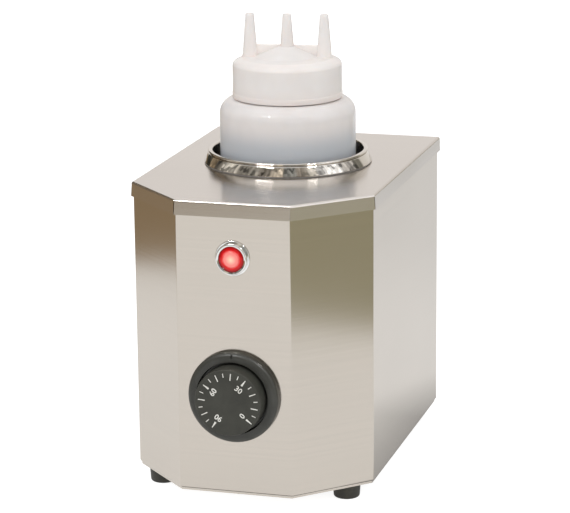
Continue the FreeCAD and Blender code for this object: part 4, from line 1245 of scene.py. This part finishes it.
@dataclass
class NozzleCap:
    """Screw cap with a shallow cone and three tapered nozzles in a row."""

    radius: float = 34.0
    bead: float = 0.3
    bead_height: float = 3.6
    wall: float = 2.0
    corner: float = 21.81
    edge: float = 2.9
    plateau: float = 24.5
    plateau_radius: float = 28.4
    cone: float = 25.2
    cone_radius: float = 20.0
    apex: float = 31.5
    apex_radius: float = 5.0
    under: float = 20.9
    plug: float = 27.5
    plug_wall: float = 1.5
    plug_depth: float = 4.4
    spacing: float = 23.4
    turn: float = 5.6
    tip: float = 51.4
    tip_radius: float = 2.6
    base_radius: float = 4.6
    base_flare: float = 0.8
    bore: float = 1.5
    web: float = 32.3
    web_sheet: float = 1.6
    crisp: float = 24.0

    def build(self) -> None:
        """Mould the cap."""
        settle(self.shell(), Body.CAP, "cap_plastic", "nozzle_cap")

    def shell(self) -> Piece:
        """Cap with its web and nozzles grown into it.

        Returns:
            The cap as one closed piece.
        """
        seat = standing("nozzle_cap")
        row = Matrix.Rotation(math.radians(self.turn), 4, "Z")
        piece = shown("cap_shell", put(self.lid(), seat), Palette.cap, self.crisp)
        grown = [self.stiffener()]
        for k in (-1, 0, 1):
            grown.append(put(self.nozzle(), Matrix.Translation((k * self.spacing * MM, 0, 0))))
        for number, shape in enumerate(grown):
            addition = shown(f"addition_{number}", put(shape, seat @ row), Palette.cap, self.crisp)
            join = piece.modifiers.new("join", "BOOLEAN")
            join.operation = "UNION"
            join.solver = "EXACT"
            join.object = addition
            whole = worked(piece)
            piece.modifiers.clear()
            piece.data = whole
            bpy.data.objects.remove(addition)
        piece.data.name = piece.name
        soften(piece.data, self.crisp)
        return piece

    def lid(self) -> Shape:
        """Skirt, shoulder, cone and the plug ring inside.

        Returns:
            The cap without its web and nozzles.
        """
        beaded = self.radius + self.bead
        skirt = self.radius - self.wall
        outline = [Corner(0, self.apex), Corner(self.apex_radius, self.apex, 1.2, 4),
                   Corner(self.cone_radius, self.cone, 2.5, 5),
                   Corner(self.plateau_radius, self.plateau, 3.0, 5),
                   Corner(self.radius, self.corner, self.edge, 8),
                   Corner(self.radius, self.bead_height + 0.1, 0.2, 2),
                   Corner(beaded, self.bead_height - 0.3, 0.3, 3), Corner(beaded, 0.1, 0.35, 3),
                   Corner(skirt, 0, 0.3, 2), Corner(skirt, self.under - self.wall, 0.6, 3),
                   Corner(self.plug + 3, self.under), Corner(self.plug, self.under),
                   Corner(self.plug, self.under - self.plug_depth, 0.4, 3),
                   Corner(self.plug - self.plug_wall, self.under - self.plug_depth, 0.4, 3),
                   Corner(self.plug - self.plug_wall, self.under),
                   Corner(self.cone_radius, self.cone - self.wall, 1.0, 3),
                   Corner(self.apex_radius, self.apex - self.wall, 1.0, 3), Corner(0, self.apex - self.wall)]
        return turned(outline, 160)

    def stiffener(self) -> Shape:
        """Upright web that joins the nozzles along their row.

        Returns:
            A plate with rounded upper edges.
        """
        low = self.plateau - 1.4
        plate = bmesh.new()
        bmesh.ops.create_cube(plate, size=MM)
        bmesh.ops.scale(plate, verts=plate.verts[:], vec=(self.spacing * 2, self.web_sheet, self.web - low))
        bmesh.ops.translate(plate, verts=plate.verts[:], vec=(0, 0, (self.web + low) / 2 * MM))
        crest = [e for e in plate.edges if all(v.co.z > low * 1.2 * MM for v in e.verts)]
        bmesh.ops.bevel(plate, geom=crest, offset=0.35 * MM, offset_type="OFFSET", segments=3, profile=0.5,
                        affect="EDGES", material=-1)
        return plate

    def nozzle(self) -> Shape:
        """Tapered tube with a flared foot and a rounded lip.

        Returns:
            One nozzle on the cap's axis.
        """
        foot = self.base_radius + self.base_flare
        outline = [Corner(0, self.plateau - 1.6), Corner(foot, self.plateau - 1.6),
                   Corner(foot, self.plateau - 1.0),
                   Corner(self.base_radius, self.plateau + 1.8, 2.2, 5),
                   Corner(self.tip_radius, self.tip, 0.35, 4),
                   Corner(self.bore, self.tip, 0.2, 3), Corner(self.bore, self.tip - 1.5),
                   Corner(self.bore * 1.4, self.plateau + 3.5), Corner(0, self.plateau + 3.5)]
        return turned(outline, 56)


@dataclass
class Fittings:
    """Everything inside the case and at its rear that keeps its CAD shape."""

    def build(self) -> None:
        """Dress each part."""
        dress(Palette.sheath, "heater_band")
        dress(Palette.zinc, "heater_clamp", "well_bridge", "bridge_fixing", "bulb_clip", "foot_nuts")
        dress(Palette.wool, "insulation_sleeve")
        dress(Palette.board, "floor_pad")
        dress(Palette.phenolic, "heat_limiter", "thermostat_body")
        dress(Palette.copper, "sensor_bulb", "sensor_capillary")
        dress(Palette.screw, "thermostat_screws")
        dress(Palette.nylon, "gland_body", "gland_dome_nut", "gland_lock_nut")
        dress(Palette.silicone, "gland_seal")
        dress(Palette.steatite, "terminal_block")
        dress(Palette.brass, "terminal_screws", "earth_stud", "earth_nut")


@dataclass
class Studio:
    """Pale floor, soft lamps, pale surroundings and the camera."""

    lens: float = 161.075
    azimuth: float = 16.263
    elevation: float = 14.394
    roll: float = -0.601
    distance: float = 1.60058
    aim: tuple[float, float, float] = (0.001014, -0.002154, 0.129452)
    floor_size: float = 12.0
    white_left: float = 0.573
    white_right: float = 0.43
    white_front: float = -1.1
    room_left: str = "#9b876b"
    room_right: str = "#a9a58c"
    room_front: str = "#ccc9ba"
    shade_side: float = 0.075
    shade_rear: float = 0.09
    shade_front: float = -0.06
    side_blur: float = 0.02
    front_blur: float = 0.1
    seen_glow: float = 0.86
    mirrored_glow: float = 0.695
    soft_sky: float = 0.70
    mirrored_sky: float = 1.05
    things_round: float = 12.0
    things_up: float = 7.0

    def build(self) -> None:
        """Set the stage up."""
        self.camera()
        self.floor()
        self.surroundings()
        self.lamp("key", (-1.1, -1.5, 1.9), (1.1, 1.1), 14.5, mirrored=False)
        self.lamp("fill", (1.5, -1.2, 1.5), (1.2, 1.2), 10.5, mirrored=False)
        self.lamp("top", (0.1, 0.2, 2.1), (1.2, 1.2), 1.5, mirrored=False)
        self.lamp("window_left", (-0.63, -1.42, 1.76), (0.8, 0.10), 16.0)
        self.lamp("window_right", (1.30, -0.85, 1.76), (0.4, 0.10), 10.0)
        bpy.context.scene.view_settings.view_transform = "Standard"
        log.info("stage: floor, surroundings, lamps and camera")

    def camera(self) -> None:
        """Camera at the height and side from which the object is seen."""
        side = math.radians(self.azimuth)
        rise = math.radians(self.elevation)
        back = Vector((math.sin(side) * math.cos(rise), -math.cos(side) * math.cos(rise), math.sin(rise)))
        turn = (-back).to_track_quat("-Z", "Y").to_matrix().to_4x4()
        data = bpy.data.cameras.new("camera")
        data.lens = self.lens
        data.sensor_width = 36.0
        data.clip_start = 0.05
        data.clip_end = 60.0
        camera = bpy.data.objects.new("camera", data)
        place = Matrix.Translation(Vector(self.aim) + back * self.distance)
        camera.matrix_world = place @ turn @ Matrix.Rotation(math.radians(self.roll), 4, "Z")
        bpy.context.scene.collection.objects.link(camera)
        bpy.context.scene.camera = camera

    def lamp(self, name: str, place: tuple[float, float, float], size: tuple[float, float], power: float,
             mirrored: bool = True) -> None:
        """Flat soft lamp that looks at the warmer.

        Args:
            name: Name of the lamp.
            place: Where it hangs, in metres.
            size: Width and height of its pane, in metres.
            power: Power in watts.
            mirrored: A window whose pane bright surfaces show, or else soft light for the dull ones.
        """
        data = bpy.data.lights.new(name, "AREA")
        data.shape = "RECTANGLE"
        data.size, data.size_y = size
        data.energy = power
        lamp = bpy.data.objects.new(name, data)
        lamp.visible_glossy = mirrored
        lamp.visible_diffuse = not mirrored
        way = Vector((0, 0, 0.12)) - Vector(place)
        lamp.matrix_world = Matrix.Translation(place) @ way.to_track_quat("-Z", "Y").to_matrix().to_4x4()
        bpy.context.scene.collection.objects.link(lamp)

    @staticmethod
    def by_ray(tree: Tree, dull: Link, mirrored: Link, seen: Link) -> Link:
        """Choose a shader by the kind of ray that meets it.

        Args:
            tree: Node tree of the floor or of the surroundings.
            dull: Shader for the light on dull surfaces.
            mirrored: Shader for what bright surfaces show.
            seen: Shader for what is seen straight on or through something clear.

        Returns:
            The chosen shader.
        """
        path = add_node(tree, "ShaderNodeLightPath")
        shiny = add_node(tree, "ShaderNodeMixShader",
                         {0: path.outputs["Is Glossy Ray"], 1: dull, 2: mirrored})
        clear = add_node(tree, "ShaderNodeMath",
                         {0: path.outputs["Is Camera Ray"], 1: path.outputs["Is Transmission Ray"]},
                         operation="MAXIMUM")
        whole = add_node(tree, "ShaderNodeMixShader", {0: clear.outputs[0], 1: shiny.outputs[0], 2: seen})
        return whole.outputs[0]

    def floor(self) -> None:
        """White floor that keeps the object's shadow; metal sees where it ends."""
        material = bpy.data.materials.new("pale_floor")
        material.use_nodes = True
        tree = material.node_tree
        tree.nodes.clear()
        axes = split(tree)
        left = add_node(tree, "ShaderNodeMapRange",
                        {"Value": axes.outputs["X"], "From Min": -self.white_left - self.side_blur,
                         "From Max": -self.white_left + self.side_blur})
        right = add_node(tree, "ShaderNodeMapRange",
                         {"Value": axes.outputs["X"], "From Min": self.white_right + self.side_blur,
                          "From Max": self.white_right - self.side_blur})
        within = add_node(tree, "ShaderNodeMath", {0: left.outputs[0], 1: right.outputs[0]},
                          operation="MULTIPLY")
        ahead = add_node(tree, "ShaderNodeMapRange",
                         {"Value": axes.outputs["Y"], "From Min": self.white_front - self.front_blur,
                          "From Max": self.white_front + self.front_blur})
        white = add_node(tree, "ShaderNodeMath", {0: within.outputs[0], 1: ahead.outputs[0]},
                         operation="MULTIPLY")
        sides = add_node(tree, "ShaderNodeMath", {0: axes.outputs["X"], 1: 0.0}, operation="GREATER_THAN")
        walls = add_node(tree, "ShaderNodeMix",
                         {"Factor": sides.outputs[0], "A": linear(self.room_left),
                          "B": linear(self.room_right)},
                         data_type="RGBA")
        room = add_node(tree, "ShaderNodeMix",
                        {"Factor": within.outputs[0], "A": walls.outputs["Result"],
                         "B": linear(self.room_front)},
                        data_type="RGBA")
        seen = add_node(tree, "ShaderNodeMix",
                        {"Factor": white.outputs[0], "A": room.outputs["Result"], "B": linear("#ffffff")},
                        data_type="RGBA")
        matt = add_node(tree, "ShaderNodeBsdfDiffuse", {"Color": linear("#b8b8b8")})
        lit = add_node(tree, "ShaderNodeEmission", {"Color": linear("#ffffff"), "Strength": self.seen_glow})
        camera = add_node(tree, "ShaderNodeAddShader", {0: matt.outputs[0], 1: lit.outputs[0]})
        shaded = add_node(tree, "ShaderNodeVectorMath",
                          {0: seen.outputs["Result"], "Scale": self.contact_shade(tree, axes)},
                          operation="SCALE")
        half = add_node(tree, "ShaderNodeMix",
                        {"Factor": 0.6, "A": shaded.outputs[0], "B": linear("#000000")}, data_type="RGBA")
        toned = add_node(tree, "ShaderNodeBsdfDiffuse", {"Color": half.outputs["Result"]})
        glow = add_node(tree, "ShaderNodeEmission",
                        {"Color": shaded.outputs[0], "Strength": self.mirrored_glow})
        mirrored = add_node(tree, "ShaderNodeAddShader", {0: toned.outputs[0], 1: glow.outputs[0]})
        plain = add_node(tree, "ShaderNodeBsdfDiffuse", {"Color": linear("#e7e7e6")})
        whole = self.by_ray(tree, plain.outputs[0], mirrored.outputs[0], camera.outputs[0])
        add_node(tree, "ShaderNodeOutputMaterial", {"Surface": whole})
        shape = bmesh.new()
        bmesh.ops.create_grid(shape, x_segments=1, y_segments=1, size=self.floor_size / 2)
        mesh = bpy.data.meshes.new("floor")
        shape.to_mesh(mesh)
        shape.free()
        mesh.materials.append(material)
        floor = bpy.data.objects.new("floor", mesh)
        bpy.context.scene.collection.objects.link(floor)

    def contact_shade(self, tree: Tree, axes: Node) -> Link:
        """Share of light left on the floor beside the case, which its right side mirrors.

        Args:
            tree: Node tree of the floor.
            axes: Node that gives a point's X and Y.

        Returns:
            1 in the open and about a half against the case.
        """
        beside = add_node(tree, "ShaderNodeMapRange",
                          {"Value": axes.outputs["X"], "From Min": self.shade_side,
                           "From Max": self.shade_side + 0.065, "To Min": 0.46, "To Max": 1.0})
        beyond = add_node(tree, "ShaderNodeMapRange",
                          {"Value": axes.outputs["Y"], "From Min": self.shade_rear,
                           "From Max": self.shade_rear + 0.16, "To Max": 0.55})
        before = add_node(tree, "ShaderNodeMapRange",
                          {"Value": axes.outputs["Y"], "From Min": self.shade_front,
                           "From Max": self.shade_front - 0.03, "To Max": 0.55})
        other_side = add_node(tree, "ShaderNodeMapRange",
                              {"Value": axes.outputs["X"], "From Min": 0.02, "From Max": -0.02,
                               "To Max": 0.55})
        open_ends = add_node(tree, "ShaderNodeMath", {0: beyond.outputs[0], 1: before.outputs[0]},
                             operation="ADD")
        open_floor = add_node(tree, "ShaderNodeMath", {0: open_ends.outputs[0], 1: other_side.outputs[0]},
                              operation="ADD")
        total = add_node(tree, "ShaderNodeMath", {0: beside.outputs[0], 1: open_floor.outputs[0]},
                         operation="ADD", use_clamp=True)
        far = add_node(tree, "ShaderNodeMapRange",
                       {"Value": axes.outputs["Y"], "From Min": self.shade_rear,
                        "From Max": self.shade_rear + 0.5, "To Min": 0.93, "To Max": 0.80})
        share = add_node(tree, "ShaderNodeMath", {0: total.outputs[0], 1: far.outputs[0]},
                         operation="MULTIPLY")
        return share.outputs[0]

    def room_stops(self) -> list[tuple[float, Colour]]:
        """Walls, window and doorway round the stage, in a turn from behind, by the left, to behind.

        Returns:
            Share of the full turn and colour, for each edge of a wall.
        """
        walls = ((-180, "#ece8e4"), (-143, "#ece8e4"), (-139, "#35332c"), (-122, "#45423a"),
                 (-118, "#8f7f69"), (-107, "#857560"), (-104, "#4c4843"), (-93, "#69655e"),
                 (-90, "#cfcac1"), (-64, "#b7b2a9"), (-60, "#7c7871"), (-30, "#99958d"),
                 (-26, "#6b655e"), (-12, "#7b756d"), (-9, "#d0c5b5"), (7, "#c6bbab"), (10, "#7d7d7a"),
                 (26, "#8a8a86"), (30, "#7a736b"), (44, "#958f86"), (48, "#c9c5bd"), (58, "#d2cec6"),
                 (61, "#ffffff"), (98, "#ffffff"), (101, "#b4b1ae"), (122, "#a8a5a1"), (126, "#6b6962"),
                 (138, "#77746b"), (142, "#dcd7cf"), (180, "#ece8e4"))
        return [((degrees + 180) / 360, linear(colour)) for degrees, colour in walls]

    def clutter(self, tree: Tree, turn: Node, axes: Node) -> Link:
        """Brightness of the things that stand along the room's walls.

        Args:
            tree: Node tree of the surroundings.
            turn: Node that gives the direction round the stage.
            axes: Node that gives the direction's height as Z.

        Returns:
            Factor round 1, in upright blocks of light and dark.
        """
        round_about = add_node(tree, "ShaderNodeMath", {0: turn.outputs[0], 1: self.things_round},
                               operation="MULTIPLY")
        upward = add_node(tree, "ShaderNodeMath", {0: axes.outputs["Z"], 1: self.things_up},
                          operation="MULTIPLY")
        spot = add_node(tree, "ShaderNodeCombineXYZ", {0: round_about.outputs[0], 1: upward.outputs[0]})
        blocks = add_node(tree, "ShaderNodeTexVoronoi", {"Vector": spot.outputs[0], "Scale": 1.0},
                          voronoi_dimensions="2D", distance="CHEBYCHEV")
        channels = add_node(tree, "ShaderNodeSeparateColor", {0: blocks.outputs["Color"]})
        level = add_node(tree, "ShaderNodeMapRange",
                         {"Value": channels.outputs[0], "From Min": 0.1, "From Max": 0.9,
                          "To Min": 0.4, "To Max": 1.8})
        return level.outputs[0]

    def surroundings(self) -> None:
        """White backdrop for the camera, even light for dull surfaces and a room for the steel to mirror."""
        world = bpy.data.worlds.new("surroundings")
        bpy.context.scene.world = world
        world.use_nodes = True
        tree = world.node_tree
        tree.nodes.clear()
        axes = split(tree, "Generated")
        ahead = add_node(tree, "ShaderNodeMath", {0: axes.outputs["Y"], 1: -1.0}, operation="MULTIPLY")
        turn = add_node(tree, "ShaderNodeMath", {0: axes.outputs["X"], 1: ahead.outputs[0]},
                        operation="ARCTAN2")
        share = add_node(tree, "ShaderNodeMapRange",
                         {"Value": turn.outputs[0], "From Min": -math.pi, "From Max": math.pi})
        room = add_node(tree, "ShaderNodeValToRGB", {0: share.outputs[0]}, stops=self.room_stops())
        slats = add_node(tree, "ShaderNodeTexNoise", {"W": turn.outputs[0], "Scale": 13.0, "Detail": 2.0},
                         noise_dimensions="1D")
        lit_slats = add_node(tree, "ShaderNodeMapRange",
                             {"Value": slats.outputs[0], "From Min": 0.35, "From Max": 0.65,
                              "To Min": 0.7, "To Max": 1.15})
        behind = add_node(tree, "ShaderNodeMapRange",
                          {"Value": axes.outputs["Y"], "From Min": 0.55, "From Max": 0.75})
        things = add_node(tree, "ShaderNodeMath",
                          {0: lit_slats.outputs[0], 1: self.clutter(tree, turn, axes)},
                          operation="MULTIPLY")
        even = add_node(tree, "ShaderNodeMix",
                        {"Factor": behind.outputs[0], "A": things.outputs[0], "B": 1.0})
        banded = add_node(tree, "ShaderNodeVectorMath", {0: room.outputs[0], "Scale": even.outputs[0]},
                          operation="SCALE")
        high = add_node(tree, "ShaderNodeMapRange",
                        {"Value": axes.outputs["Z"], "From Min": 0.70, "From Max": 0.80})
        mirrored = add_node(tree, "ShaderNodeMix",
                            {"Factor": high.outputs[0], "A": banded.outputs[0], "B": linear("#ffffff")},
                            data_type="RGBA")
        soft = add_node(tree, "ShaderNodeBackground", {"Color": linear("#ffffff"), "Strength": self.soft_sky})
        glossy = add_node(tree, "ShaderNodeBackground",
                          {"Color": mirrored.outputs["Result"], "Strength": self.mirrored_sky})
        white = add_node(tree, "ShaderNodeBackground", {"Color": linear("#ffffff"), "Strength": 1.0})
        whole = self.by_ray(tree, soft.outputs[0], glossy.outputs[0], white.outputs[0])
        add_node(tree, "ShaderNodeOutputWorld", {"Surface": whole})


def main() -> None:
    """Build and dress each sub-assembly in order."""
    for part in (Studio(), Housing(), Fastenings(), Well(), Dial(), PilotLamp(), SqueezeBottle(), NozzleCap(),
                 Fittings()):
        log.info("building %s", type(part).__name__)
        part.build()


if __name__ == "__main__":
    main()
